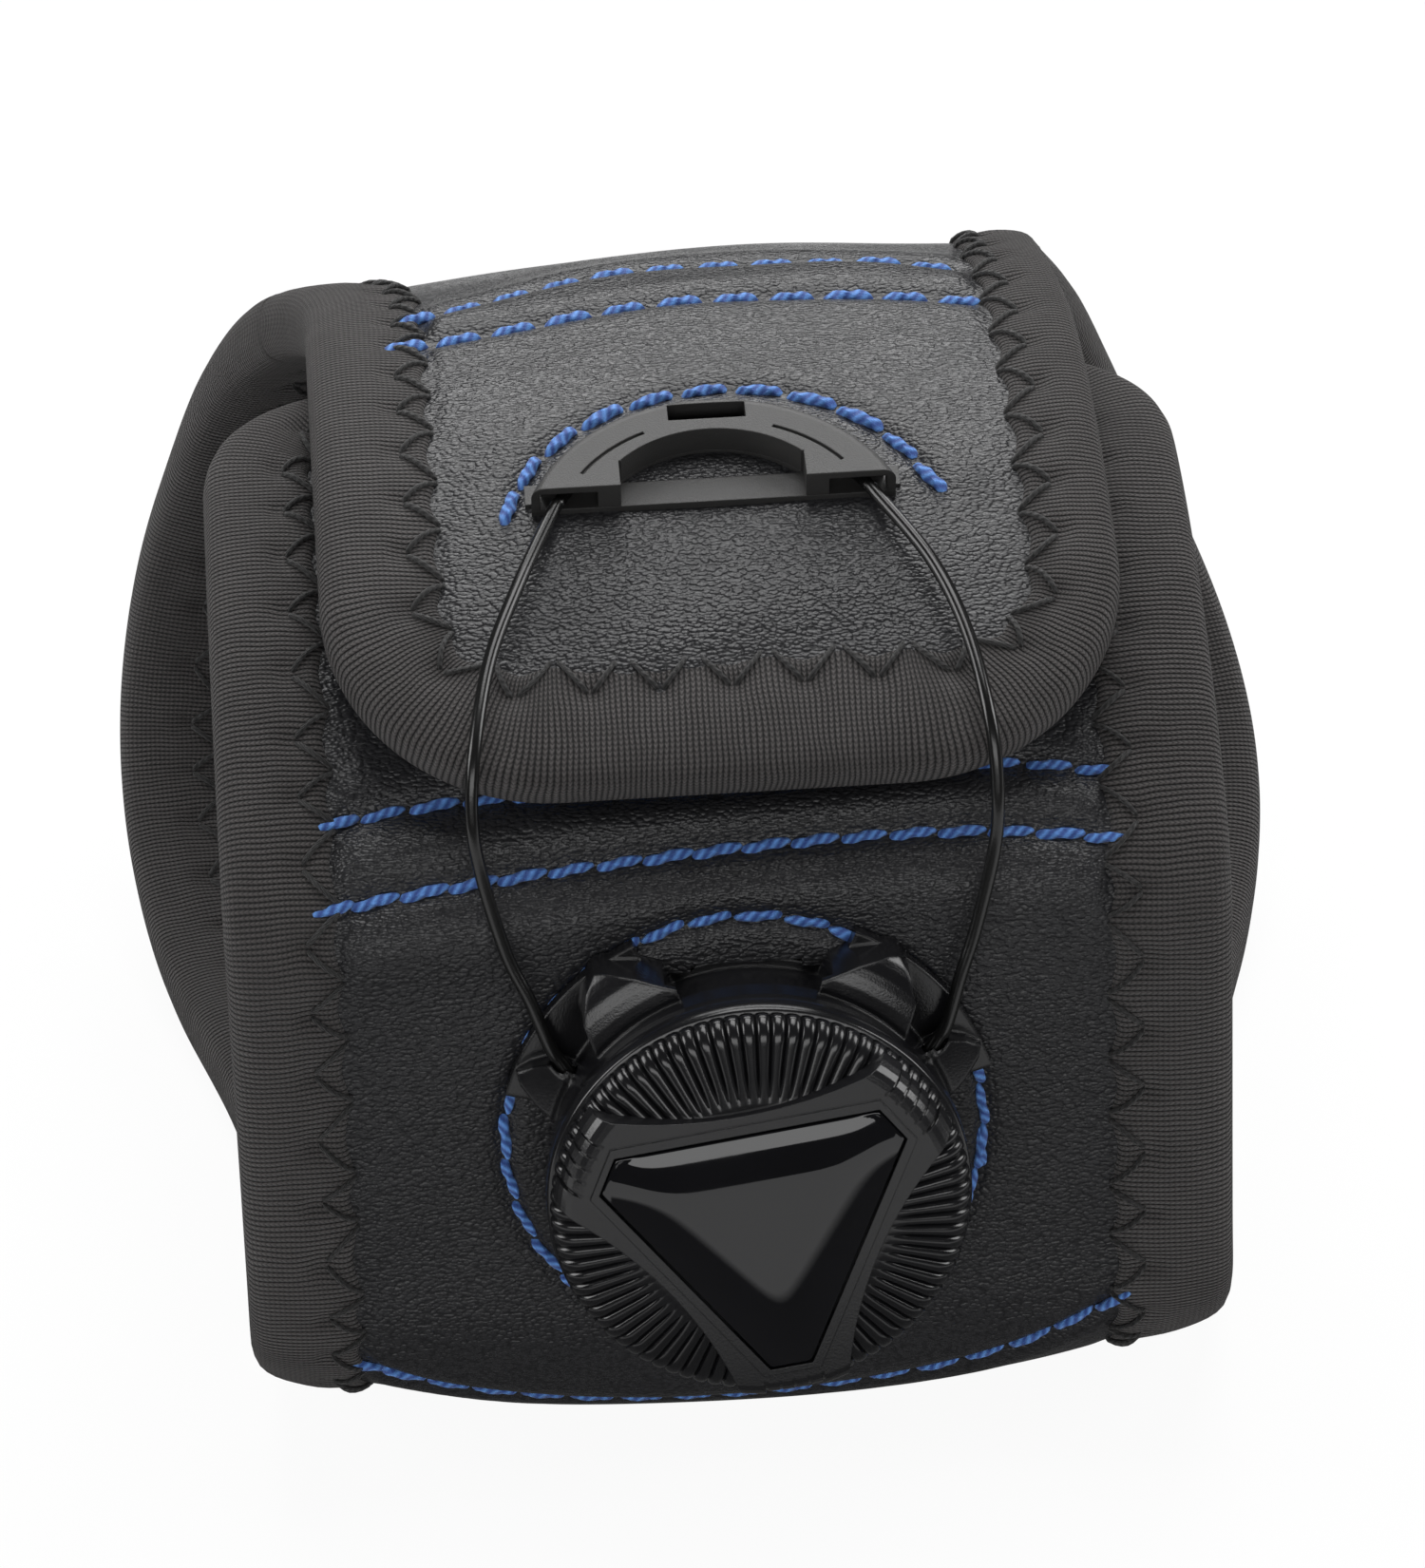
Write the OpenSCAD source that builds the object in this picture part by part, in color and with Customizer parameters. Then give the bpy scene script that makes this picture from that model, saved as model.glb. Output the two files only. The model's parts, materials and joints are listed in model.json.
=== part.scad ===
// Padded limb strap that is tightened by a ratchet dial.
// The loop runs round the X axis, the dial faces -Y, the strap rests on z = 0.

/* [Strap] */
// Width of the flap that carries the lace guide
flap_w = 59.4; // [57:0.2:62]
// Width of the front panel that carries the dial
panel_w = 74.5; // [73:0.5:77]
// Width of the band at its widest, behind the limb
back_w = 96; // [90:0.5:102]
// Thickness of the padded strap without its binding
strap_t = 4.3; // [4:0.1:4.6]
// Thickness of the synthetic leather facing
facing_t = 0.8; // [0.6:0.1:1]
// Thickness of the knitted lining against the skin
lining_t = 0.8; // [0.6:0.1:1]
// Width of the knitted binding along the band's edges
bind_w = 9.2; // [8.5:0.1:10]
// Width of the binding along the flap's edges
flap_bind_w = 7.8; // [7.5:0.1:8.5]
// Width of the binding across the flap's end
end_bind_w = 9.6; // [9:0.1:10.2]
// Height of the binding above the face that it covers
bind_lip = 0.7; // [0.5:0.1:0.8]
// Corner radius of the flap
corner_r = 17; // [12:0.5:18]
// Corner radius of the tongue that lies under the flap
tongue_corner_r = 14; // [12:0.5:16]
// Length of the tongue
tongue_l = 49; // [40:1:50]
// Rise of the band's edges at the front fold
fold_rise = 5.4; // [0:0.1:6]

/* [Loop] */
// Radius of the flap's outer face
flap_r = 63; // [62:0.5:64]
// Height of the centre of the flap's arc
flap_z = 8.2; // [7.8:0.1:8.6]
// Direction of the flap's free end, up from the front
flap_end = 54; // [53:0.5:55]
// Direction of the crest, where the flap hinges
crest = 111; // [110:0.5:112]
// Lean of the dial's face, back from upright
dial_lean = 10; // [9:0.5:11]
// Flat length of the panel below the dial's centre
flat_below = 13.5; // [13:0.5:14]
// Flat length of the panel above the dial's centre
flat_above = 14; // [13.5:0.5:14.5]
// Bend radius between the dial's flat and the tongue
panel_r = 14; // [13:0.5:15]

/* [Dial] */
// Radius of the knob over its ribs
knob_r = 15.8; // [15.6:0.1:16]
// Number of ribs round the knob
knob_ribs = 84; // [60:2:90]
// Depth of the grooves between the ribs
rib_depth = 0.45; // [0.3:0.05:0.6]
// Turn of the three-armed frame at rest
frame_turn = -82; // [-120:1:0]
// Travel of the knob when it is pulled to let the lace go
pull_travel = 2.5; // [2:0.1:2.5]
// Number of teeth in the ratchet ring
ratchet_teeth = 30; // [24:2:36]
// Radius of the flange that is sewn under the facing
flange_r = 20; // [19.5:0.1:20.5]

/* [Lace] */
// Diameter of the lace
lace_d = 1; // [0.8:0.1:1.1]
// Distance of the guide's middle from the flap's free end
guide_at = 27.6; // [27:0.1:30]
// Height of the guide above the facing
guide_h = 3.1; // [2.8:0.1:3.4]

/* [Hidden] */
$fn = 64;

// ---- side profile: places in (y, z), directions up from the front ----

// moves the loop along y so that the whole strap is centred on the origin
loop_y = 6.65;
hug = 0.1;          // slack between the binding and what it wraps
edge_in = 1.1;      // distance of the padded layers from the binding's outer edge
lie_gap = 0.3;      // air between the flap and the tongue
hinge_gap = 0.5;    // seam between the band and the flap, along the strap
bend_at = 52;       // direction at which the panel's bend runs into the tongue

function deg(a) = a * 180 / PI;
function rad(a) = a * PI / 180;
function out(a) = [-cos(a), sin(a)];
function up(a) = [sin(a), cos(a)];
function ease(t) = let (c = min(1, max(0, t))) c * c * (3 - 2 * c);
function arc_at(c, r, a) = concat(c + r * out(a), [a]);

flap_c = [loop_y, flap_z];
back_r = (flap_z + flap_r * sin(crest) - bind_lip) / (1 + sin(crest));
back_c = flap_c + (flap_r - back_r) * out(crest);
tongue_r = flap_r - strap_t - 2 * bind_lip - lie_gap;
bend_c = flap_c + (tongue_r - panel_r) * out(bend_at);
flat_top = bend_c + panel_r * out(dial_lean);
dial_c = flat_top - flat_above * up(dial_lean);
flat_foot = dial_c - flat_below * up(dial_lean);
fold_r = (flat_foot[1] - bind_lip) / (1 + sin(dial_lean));
fold_c = flat_foot - fold_r * out(dial_lean);

// distances along the band, from the crest over the back to the tongue's tip
back_s = back_r * rad(270 - crest);
floor_s = back_s + back_c[0] - fold_c[0];
fold_s = floor_s + fold_r * rad(90 + dial_lean);
flat_s = fold_s + flat_below + flat_above;
bend_s = flat_s + panel_r * rad(bend_at - dial_lean);
tip_s = bend_s + tongue_l;
flare_s = 70;       // distance at which the band is widest
narrow_s = 36;      // length over which it narrows again
fold_span = 20;     // reach of the fold's raised edges along the band
fold_low = 3;       // how far their top lies below the middle of the fold
rise_power = 2.5;   // how the rise grows towards the edges

function fold_bump(s) =
    let (d = abs(s - (floor_s + fold_s) / 2 + fold_low) / fold_span)
    d < 1 ? pow(cos(90 * d), 2) : 0;

function band_place(s) =
    s <= back_s ? arc_at(back_c, back_r, crest + deg(s / back_r))
    : s <= floor_s ? [back_c[0] - (s - back_s), bind_lip, 270]
    : s <= fold_s ? arc_at(fold_c, fold_r, 270 + deg((s - floor_s) / fold_r))
    : s <= flat_s ? concat(flat_foot + (s - fold_s) * up(dial_lean), [360 + dial_lean])
    : s <= bend_s ? arc_at(bend_c, panel_r, 360 + dial_lean + deg((s - flat_s) / panel_r))
    : arc_at(flap_c, tongue_r, 360 + bend_at + deg((s - bend_s) / tongue_r));

// half width of an end with corners of radius r at a distance d from the tip, drawn in by i
function round_end(half, r, d, i) =
    d >= r ? half - i : half - r + sqrt(max(0, pow(r - i, 2) - pow(r - d, 2)));

function band_side(s) =
    s < flare_s ? (flap_w + (back_w - flap_w) * ease((s + 8) / (flare_s + 8))) / 2
    : (panel_w + (back_w - panel_w) * exp(-pow((s - flare_s) / narrow_s, 2))) / 2;

band_at = function(s) concat(band_place(s), [fold_rise * fold_bump(s)]);
flap_at = function(s) concat(arc_at(flap_c, flap_r, flap_end + deg(s / flap_r)), [0]);
flap_len = flap_r * rad(crest - flap_end) - hinge_gap;

// a place on a strap: x across, s along, h above the facing
function lay(at, x, s, h) =
    let (p = at(s), rise = p[3] * pow(2 * abs(x) / panel_w, rise_power))
    [x, p[0] - h * cos(p[2]), p[1] + h * sin(p[2]) + rise];

// distances at which the sections of a strap stand
function steps(a, b, n) = [for (i = [0:n - 1]) a + (b - a) * i / n];
corner_steps = 6;
function corner_d(r, i) = edge_in + (r - edge_in) * (1 - cos(90 * i / corner_steps));

band_run = concat(
    steps(0, back_s, 15), steps(back_s, floor_s, 4), steps(floor_s, fold_s, 7),
    steps(fold_s, flat_s, 3), steps(flat_s, bend_s, 4), steps(bend_s, tip_s - tongue_corner_r, 5));
band_stops = concat(band_run,
    [for (i = [corner_steps:-1:0]) tip_s - corner_d(tongue_corner_r, i)]);
flap_run = steps(flap_len, corner_r, 10);
flap_stops = concat(flap_run, [for (i = [corner_steps:-1:0]) corner_d(corner_r, i)]);

// ---- soft layers ----

// a closed skin over rings of the same even number of points; the second half of
// a ring runs back beside the first, so strips between the two close each end, and
// its diagonals lean the other way, so that layers with a common face meet exactly,
// except for the last few columns
module skin(rings, last_cols = 0) {
    n = len(rings[0]);
    m = len(rings);
    last = (m - 1) * n;
    polyhedron(
        points = [for (ring = rings) for (p = ring) p],
        faces = concat(
            [for (i = [0:n / 2 - 2]) [i + 1, i, n - 1 - i, n - 2 - i]],
            [for (j = [0:m - 2]) for (i = [0:n - 1])
                let (k = (i + 1) % n, a = j * n + i, b = j * n + k, c = a + n, d = b + n)
                each i < n / 2 || i >= n - last_cols ?
                    [[a, b, c], [b, d, c]] : [[a, b, d], [a, d, c]]],
            [for (i = [0:n / 2 - 2]) [last + i, last + i + 1, last + n - 2 - i, last + n - 1 - i]]));
}

dial_zone = 19;     // half width of the flat part under the dial

function sheet_cols(e, side) =
    let (f = min(side - bind_w, 0.95 * e), g = min(dial_zone, 0.9 * f)) [-e, -f, -g, 0, g, f, e];

// one layer of a strap, between two heights; side is its half width away from the end,
// tip is where it ends and r the radius of its corners
module sheet(at, stops, side, tip, r, low, high) {
    skin([for (s = stops)
        let (cols = sheet_cols(round_end(side(s), r, abs(tip - s), edge_in), side(s))) concat(
        [for (x = cols) lay(at, x, s, high)],
        [for (i = [len(cols) - 1:-1:0]) lay(at, cols[i], s, low)])]);
}

// section of a binding of width w: [distance from the edge, height] outside
bind_soft = 2.2;    // width of the rounding at its edges
bind_brow = 0.75;   // where the rounding turns down over the edge
function bind_shell(w) = [
    [w, 0.25], [w - bind_soft, bind_lip], [bind_soft, bind_lip],
    [bind_brow, bind_lip / 2], [0, -strap_t / 2], [bind_brow, -strap_t - bind_lip / 2],
    [bind_soft, -strap_t - bind_lip], [w - bind_soft, -strap_t - bind_lip],
    [w, -strap_t - 0.25]];
// and inside: [share of the way to the edge, height]
bind_core_edge = edge_in - 0.15;
bind_core = [
    [0, hug], [0.26, hug], [0.85, hug],
    [1, hug], [1, -strap_t / 2], [1, -strap_t - hug],
    [0.85, -strap_t - hug], [0.26, -strap_t - hug], [0, -strap_t - hug]];

core_top = 4;       // columns over the facing, whose diagonals lean like the facing's

function mix(a, b, t) = a + (b - a) * t;

// a place between a and b, each [x, s], that keeps to the flat chord across the strap
function edge_rise(at, q) = at(q[1])[3] * pow(2 * abs(q[0]) / panel_w, rise_power);
function chord(at, a, b, t, h) =
    let (q = mix(a, b, t), flat_rise = mix(edge_rise(at, a), edge_rise(at, b), t))
    lay(at, q[0], q[1], h) + [0, 0, flat_rise - edge_rise(at, q)];

// one section of the binding at outline point i of pts, each [x, s];
// its width is w along the strap and tip_w across it, ends is the sense of s
function bind_ring(at, pts, i, ends, w, tip_w) =
    let (
        n = len(pts),
        d = pts[min(i + 1, n - 1)] - pts[max(i - 1, 0)],
        t = (i == 0 || i == n - 1) ? [0, i == 0 ? ends : -ends] : d / norm(d),
        inward = [t[1] * ends, -t[0] * ends],
        wide = mix(w, tip_w, pow(inward[1], 2)),
        far = pts[i] + wide * inward,
        near = pts[i] + bind_core_edge * inward)
    concat(
        [for (p = bind_shell(wide)) let (q = pts[i] + p[0] * inward) lay(at, q[0], q[1], p[1])],
        [for (k = [len(bind_core) - 1:-1:0])
            chord(at, far, near, bind_core[k][0], bind_core[k][1])]);

// outline of a strap's left edge, round the tip and back along the right edge
function band_outline() =
    let (
        r = tongue_corner_r,
        left = [for (s = band_run) [-band_side(s), s]],
        turn = [for (i = [0:corner_steps]) let (a = 90 * i / corner_steps)
            [r - panel_w / 2 - r * cos(a), tip_s - r + r * sin(a)]],
        one = concat(left, turn))
    concat(one, [[0, tip_s]], [for (i = [len(one) - 1:-1:0]) [-one[i][0], one[i][1]]]);

function flap_outline() =
    let (
        left = [for (s = flap_run) [-flap_w / 2, s]],
        half = flap_w / 2 - corner_r,
        turn = [for (i = [0:corner_steps]) let (a = 90 * i / corner_steps)
            [-half - corner_r * cos(a), corner_r - corner_r * sin(a)]],
        one = concat(left, turn))
    concat(one, [[0, 0]], [for (i = [len(one) - 1:-1:0]) [-one[i][0], one[i][1]]]);

module band_layer(low, high) {
    sheet(band_at, band_stops, function(s) band_side(s), tip_s, tongue_corner_r, low, high);
}

module flap_layer(low, high) {
    sheet(flap_at, flap_stops, function(s) flap_w / 2, 0, corner_r, low, high);
}

module band_lining() {
    color([0.13, 0.13, 0.13]) band_layer(-strap_t, lining_t - strap_t);
}

module band_pad() {
    color([0.2, 0.2, 0.2]) difference() {
        band_layer(lining_t - strap_t, -facing_t);
        on_dial() flange(0.05, 2);
    }
}

module band_facing() {
    color([0.09, 0.09, 0.1]) difference() {
        band_layer(-facing_t, 0);
        on_dial() translate([0, 0, -3]) cylinder(r = house_r + 0.05, h = 6);
    }
}

module band_binding() {
    pts = band_outline();
    color([0.15, 0.14, 0.14])
        skin([for (i = [0:len(pts) - 1]) bind_ring(band_at, pts, i, 1, bind_w, bind_w)],
             core_top);
}

module flap_lining() {
    color([0.13, 0.13, 0.13]) flap_layer(-strap_t, lining_t - strap_t);
}

module flap_pad() {
    color([0.2, 0.2, 0.2]) flap_layer(lining_t - strap_t, -facing_t);
}

module flap_facing() {
    color([0.09, 0.09, 0.1]) flap_layer(-facing_t, 0);
}

module flap_binding() {
    pts = flap_outline();
    color([0.15, 0.14, 0.14])
        skin([for (i = [0:len(pts) - 1]) bind_ring(flap_at, pts, i, -1, flap_bind_w, end_bind_w)],
             core_top);
}

// ---- dial: heights are above the facing, y runs up the panel ----

module on_dial() {
    translate([0, dial_c[0], dial_c[1]]) rotate([90 - dial_lean, 0, 0]) children();
}

flange_t = 1;
flange_z = -facing_t - flange_t;    // underside of the flange and of the floor
house_r = 15;                       // outer radius of the housing
house_top = 7.2;
spool_room_r = 11.5;
spool_room_z = -0.6;
ratchet_z = 5.3;                    // ledge on which the ratchet ring sits
ratchet_r = 13.6;
post_r = 2.4;
post_top = 5;
screw_r = 1;
wing_r = 18.8;
wing_t = 1.2;
port_z = 2.6;                       // height of the lace where it enters
lace_line = 7.6;                    // distance of the lace's line from the axis
port_turn = 121;                    // direction of the left lace on its way out
port_out = 14.6;                    // distance from the tangent point to the mouth
winding_r = 6.9;

// sector of a ring that stands on the facing, between two directions
module sector(r0, r1, a0, a1, h) {
    rotate(a0) rotate_extrude(angle = a1 - a0) translate([r0, 0]) square([r1 - r0, h]);
}

module both_sides() {
    children();
    mirror([1, 0, 0]) children();
}

// line of the left lace from the tangent point of the winding to its port
module on_lace_line() {
    translate([0, 0, port_z]) rotate(port_turn) translate([0, lace_line, 0])
        rotate([0, 90, 0]) children();
}

// sewing flange, cut straight above and below where the strap starts to bend
module flange(slack, h) {
    translate([0, 0, flange_z]) intersection() {
        cylinder(r = flange_r + slack, h = h);
        translate([-30, -flat_below - 1 - slack, 0])
            cube([60, flat_below + flat_above + 2.2 + 2 * slack, h]);
    }
}

// plan through points given as [radius, direction]
module polar_plan(pts) {
    polygon([for (p = pts) p[0] * [cos(p[1]), sin(p[1])]]);
}

// horn beside the lace port: highest at the housing, falling to a tip
module shoulder() {
    intersection() {
        linear_extrude(height = 6) polar_plan([
            [14, 138], [15.2, 138.5], [17.4, 134.5], [18.7, 129.5], [19.3, 125.5],
            [19, 123], [17.8, 117.5], [16.7, 113], [16, 109.5], [14, 109.5]]);
        rotate_extrude() polygon(concat(
            [[0, 0], [19.6, 0]],
            [for (a = [90:-10:0]) [14.6 + 5 * sin(a), 2 + 3.4 * cos(a)]],
            [[0, 5.4]]));
    }
}

// pointed ear on the far side of the lace port
module ear() {
    intersection() {
        linear_extrude(height = 4) polar_plan([
            [14, 149], [16.6, 149.6], [17.9, 153.5], [18.7, 156.8], [18.2, 159],
            [16.6, 162.5], [15, 165], [14, 166]]);
        rotate_extrude() polygon([[0, 0], [19, 0], [19, 1.6], [18.2, 2.3], [15.6, 3.4], [0, 3.4]]);
    }
}

module dial_base() {
    color([0.05, 0.05, 0.06]) on_dial() difference() {
        union() {
            flange(0, flange_t);
            translate([0, 0, flange_z]) cylinder(r = house_r, h = house_top - flange_z);
            both_sides() {
                translate([0, 0, 0.02]) sector(house_r - 1, wing_r, 116, 164, wing_t);
                translate([0, 0, 0.02]) shoulder();
                translate([0, 0, 0.02]) ear();
            }
        }
        translate([0, 0, 0.4]) sector(house_r - 0.8, house_r + 2, 68, 112, 4.2);
        difference() {
            translate([0, 0, spool_room_z]) cylinder(r = spool_room_r, h = 10);
            translate([0, 0, spool_room_z]) cylinder(r = post_r, h = post_top - spool_room_z);
        }
        translate([0, 0, ratchet_z]) cylinder(r = ratchet_r, h = 4);
        translate([0, 0, 0.2]) cylinder(r = screw_r, h = 6, $fn = 32);
        both_sides() on_lace_line() cylinder(d = lace_d + 0.5, h = port_out + 4, $fn = 24);
    }
}

ratchet_tip_r = 11.8;
ratchet_root_r = 12.7;
ratchet_t = 1.7;

// saw teeth that point inward and let the pawls pass one way
module ratchet_ring() {
    pitch = 360 / ratchet_teeth;
    color([0.62, 0.63, 0.65]) on_dial() translate([0, 0, ratchet_z]) difference() {
        cylinder(r = ratchet_r, h = ratchet_t);
        translate([0, 0, -1]) linear_extrude(height = 4) polygon([
            for (i = [0:ratchet_teeth - 1]) for (p = [[ratchet_root_r, 0], [ratchet_tip_r, 0.86]])
                p[0] * [cos((i + p[1]) * pitch), sin((i + p[1]) * pitch)]]);
    }
}

run_gap = 0.08;     // radial clearance of the running fits
spool_z = -0.4;
spool_h = 5.3;
spool_core_r = 5.2;
spool_flange_r = 10.8;

module spool() {
    color([0.75, 0.75, 0.72]) on_dial() translate([0, 0, spool_z]) difference() {
        rotate_extrude() polygon([
            [post_r + run_gap, 0], [spool_flange_r, 0], [spool_flange_r, 0.6],
            [spool_core_r, 0.9], [spool_core_r, spool_h - 0.9],
            [spool_flange_r, spool_h - 0.6], [spool_flange_r, spool_h], [post_r + run_gap, spool_h]]);
        for (i = [0:2]) rotate(120 * i) translate([7.8, 0, spool_h - 1])
            cylinder(r = 0.8, h = 2, $fn = 24);
    }
}

module lace_winding() {
    color([0.04, 0.04, 0.04]) on_dial() translate([0, 0, spool_z + 0.95]) difference() {
        cylinder(r = winding_r, h = spool_h - 1.9);
        translate([0, 0, -1]) cylinder(r = spool_core_r + 0.02, h = spool_h + 2);
    }
}

bush_z = 5.1;
bush_h = 2.1;
bush_r = 3.4;
shank_r = 1.5;      // radius of the screw's shank, on which the bush slides
head_r = 2.5;
screw_head_z = bush_z + bush_h + pull_travel + 0.05;

module axle_screw() {
    color([0.7, 0.71, 0.73]) on_dial() difference() {
        rotate_extrude() polygon([
            [0, 0.3], [screw_r - 0.02, 0.3], [screw_r - 0.02, post_top], [shank_r, post_top],
            [shank_r, screw_head_z], [head_r, screw_head_z], [head_r, screw_head_z + 0.5],
            [head_r - 0.5, screw_head_z + 0.9], [0, screw_head_z + 0.9]]);
        for (a = [0, 90]) rotate(a) translate([-1.4, -0.25, screw_head_z + 0.4])
            cube([2.8, 0.5, 1]);
    }
}

module detent_bush() {
    color([0.8, 0.79, 0.74]) on_dial() translate([0, 0, bush_z]) difference() {
        cylinder(r = bush_r, h = bush_h);
        translate([0, 0, -1]) cylinder(r = shank_r + run_gap, h = 5);
        for (i = [0:3]) rotate(90 * i) translate([2, -0.2, -1]) cube([3, 0.4, 2]);
    }
}

drive_r = 8;        // outer radius of the knob's drive sleeve
head_room_z = 10.9; // top of the knob's room for the screw's head

// ring with three springy arms that end in pawls
module pawl_ring() {
    pitch = 360 / ratchet_teeth;
    color([0.85, 0.84, 0.8]) on_dial() translate([0, 0, ratchet_z + 0.15]) union() {
        difference() {
            cylinder(r = drive_r + 1.3, h = 1.3);
            translate([0, 0, -1]) cylinder(r = drive_r, h = 4);
        }
        for (i = [0:2]) rotate(120 * i) {
            rotate_extrude(angle = 62) translate([10.4, 0]) square([0.7, 1.3]);
            rotate(58) translate([8.9, 0, 0]) cube([2, 0.9, 1.3]);
            linear_extrude(height = 1.3) polygon([
                for (p = [[10.5, 0], [11.1, 0], [12.55, 0.12], [11, 1.4], [10.5, 1.4]])
                    p[0] * [cos(p[1] * pitch), sin(p[1] * pitch)]]);
        }
    }
}

// ---- knob ----

skirt_z = 7.5;
skirt_draw = 0.5;   // how much the skirt narrows towards the ribs
rib_z = 10.1;
edge_round = 1.2;
brow = [9.2, 13];   // radius and height at which the ribbed cone is highest
seat_z = 12.2;      // ledge on which the frame sits

function edge_at(a) =
    [knob_r - 0.2 - edge_round * (1 - cos(a)), rib_z + 0.2 + edge_round * sin(a)];
seat = mix(brow, edge_at(72), (brow[1] - seat_z) / (brow[1] - edge_at(72)[1]));

// half section of the knob's outside up to a point p of the cone, drawn inward by d
function knob_edge(d, p) = concat(
    [[knob_r - d - 0.2, rib_z]],
    [for (a = [0:18:72]) edge_at(a) - [d, 0]],
    [p - [0, d], [0, p[1] - d]]);

module knob_outside(d, p = brow) {
    rotate_extrude() polygon(concat([[0, rib_z]], knob_edge(d, p)));
}

// wedges whose crests become the ribs
module rib_wedges() {
    pitch = 360 / knob_ribs;
    linear_extrude(height = 20) polygon([
        for (i = [0:knob_ribs - 1]) for (p = [[17, -0.22], [17, 0.22], [4, 0.22], [4, 0.5]])
            p[0] * [cos((i + p[1]) * pitch), sin((i + p[1]) * pitch)]]);
}

module knob_shell() {
    color([0.03, 0.03, 0.03]) on_dial() difference() {
        union() {
            translate([0, 0, skirt_z])
                cylinder(r1 = knob_r, r2 = knob_r - skirt_draw, h = rib_z - skirt_z);
            knob_outside(rib_depth);
            intersection() {
                knob_outside(0);
                rib_wedges();
            }
        }
        translate([0, 0, skirt_z - 1]) cylinder(r = knob_r - 1.8, h = 3.3);
        cylinder(r = head_r + 0.25, h = head_room_z);
        rotate(frame_turn) translate([0, 0, seat_z]) linear_extrude(height = 3) frame_plan();
    }
    color([0.03, 0.03, 0.03]) on_dial() knob_hub();
}

// sleeve that carries the pawls and runs on the detent bush
module knob_hub() {
    difference() {
        translate([0, 0, bush_z + 0.1]) cylinder(r = drive_r - 0.02, h = 4.6);
        translate([0, 0, bush_z - 1]) cylinder(r = bush_r + run_gap, h = bush_h + 1.2);
        translate([0, 0, bush_z]) cylinder(r = head_r + 0.25, h = 9);
    }
}

frame_top = 13.6;
frame_r = 15.3;
frame_low = rib_z + 0.4;            // start of the frame before the knob is cut out of it
arm_half = 4.3;
side_r = 33;        // radius of the frame's hollow sides
side_at = 8.9;      // distance of a side's middle from the axis
nose_h = 2.9;       // height over which an arm's nose rounds down
nose_d = 1.6;       // and how far it draws in
nose_dip = 0.2;     // how far the grooved middle of a nose lies back
groove_n = 5;
groove_pitch = 1.07;
groove_w = 0.22;
groove_t = 0.35;    // depth of the grooves
lip_w = 0.85;       // width of the raised lip round the inlay
lip_h = 0.15;

module tri_plan(r, half) {
    polygon([for (i = [0:2]) for (k = [-1, 1])
        [r * cos(120 * i) - k * half * sin(120 * i), r * sin(120 * i) + k * half * cos(120 * i)]]);
}

// half section of the frame's outside, drawn inward by d
function frame_edge(d) = concat(
    [[0, 0], [frame_r - d, 0], [frame_r - d, frame_top - nose_h]],
    [for (a = [15:15:75])
        [frame_r - d - nose_d * (1 - cos(a)), frame_top - nose_h + nose_h * sin(a)]],
    [[frame_r - d - nose_d, frame_top], [0, frame_top]]);

// a cut of width w across each nose, at a place y along it and no deeper than d
module nose_cut(y, w, d) {
    difference() {
        for (i = [0:2]) rotate(120 * i)
            translate([frame_r - 2.6, y - w / 2, rib_z - 1]) cube([6, w, 6]);
        rotate_extrude() polygon(frame_edge(d));
    }
}

module nose_cuts() {
    for (k = [0:groove_n - 1])
        nose_cut((k - (groove_n - 1) / 2) * groove_pitch, groove_w, groove_t);
    nose_cut(0, (groove_n - 1) * groove_pitch, nose_dip);
}

// the frame from above: three blunt arms between hollow sides
module frame_plan() {
    difference() {
        tri_plan(frame_r + 1, arm_half);
        for (i = [0:2]) rotate(60 + 120 * i) translate([side_at + side_r, 0])
            circle(r = side_r, $fn = 96);
    }
}

module knob_frame() {
    color([0.07, 0.07, 0.075]) on_dial() rotate(frame_turn) difference() {
        union() {
            intersection() {
                translate([0, 0, frame_low]) linear_extrude(height = 6) frame_plan();
                rotate_extrude() polygon(frame_edge(0));
            }
            translate([0, 0, frame_top - 0.5]) linear_extrude(height = 0.5 + lip_h)
                tri_plan(inlay_r + lip_w, inlay_half + 0.577 * lip_w);
        }
        knob_outside(-0.02, seat);
        translate([0, 0, inlay_z]) linear_extrude(height = 4)
            tri_plan(inlay_r + 0.1, inlay_half + 0.1);
        nose_cuts();
    }
}

inlay_z = 12.7;
inlay_r = 12.1;
inlay_half = 1.5;   // half width of the inlay's cut corners
inlay_dome_r = 62;
inlay_top = 14.5;

module knob_inlay() {
    sink = function(r) inlay_dome_r - sqrt(pow(inlay_dome_r, 2) - pow(r, 2));
    color([0.02, 0.02, 0.02]) on_dial() rotate(frame_turn) intersection() {
        translate([0, 0, inlay_z + 0.02]) linear_extrude(height = 4) tri_plan(inlay_r, inlay_half);
        rotate_extrude() polygon(concat(
            [[0, inlay_z], [inlay_r + 2, inlay_z]],
            [for (i = [7:-1:0]) let (r = (inlay_r + 2) * i / 7) [r, inlay_top - sink(r)]]));
    }
}

// ---- lace ----

tube_sides = 8;

// round cord along a route; across must never run along the route
module tube(route, across) {
    n = len(route) - 1;
    skin([for (i = [0:n])
        let (
            d = route[min(i + 1, n)] - route[max(i - 1, 0)],
            u = cross(across, d) / norm(cross(across, d)),
            v = cross(d / norm(d), u))
        [for (k = [0:tube_sides - 1]) let (a = 360 * k / tube_sides)
            route[i] + lace_d / 2 * (cos(a) * u + sin(a) * v)]]);
}

// ---- lace guide on the flap: y runs up the strap, z is above the facing ----

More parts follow.
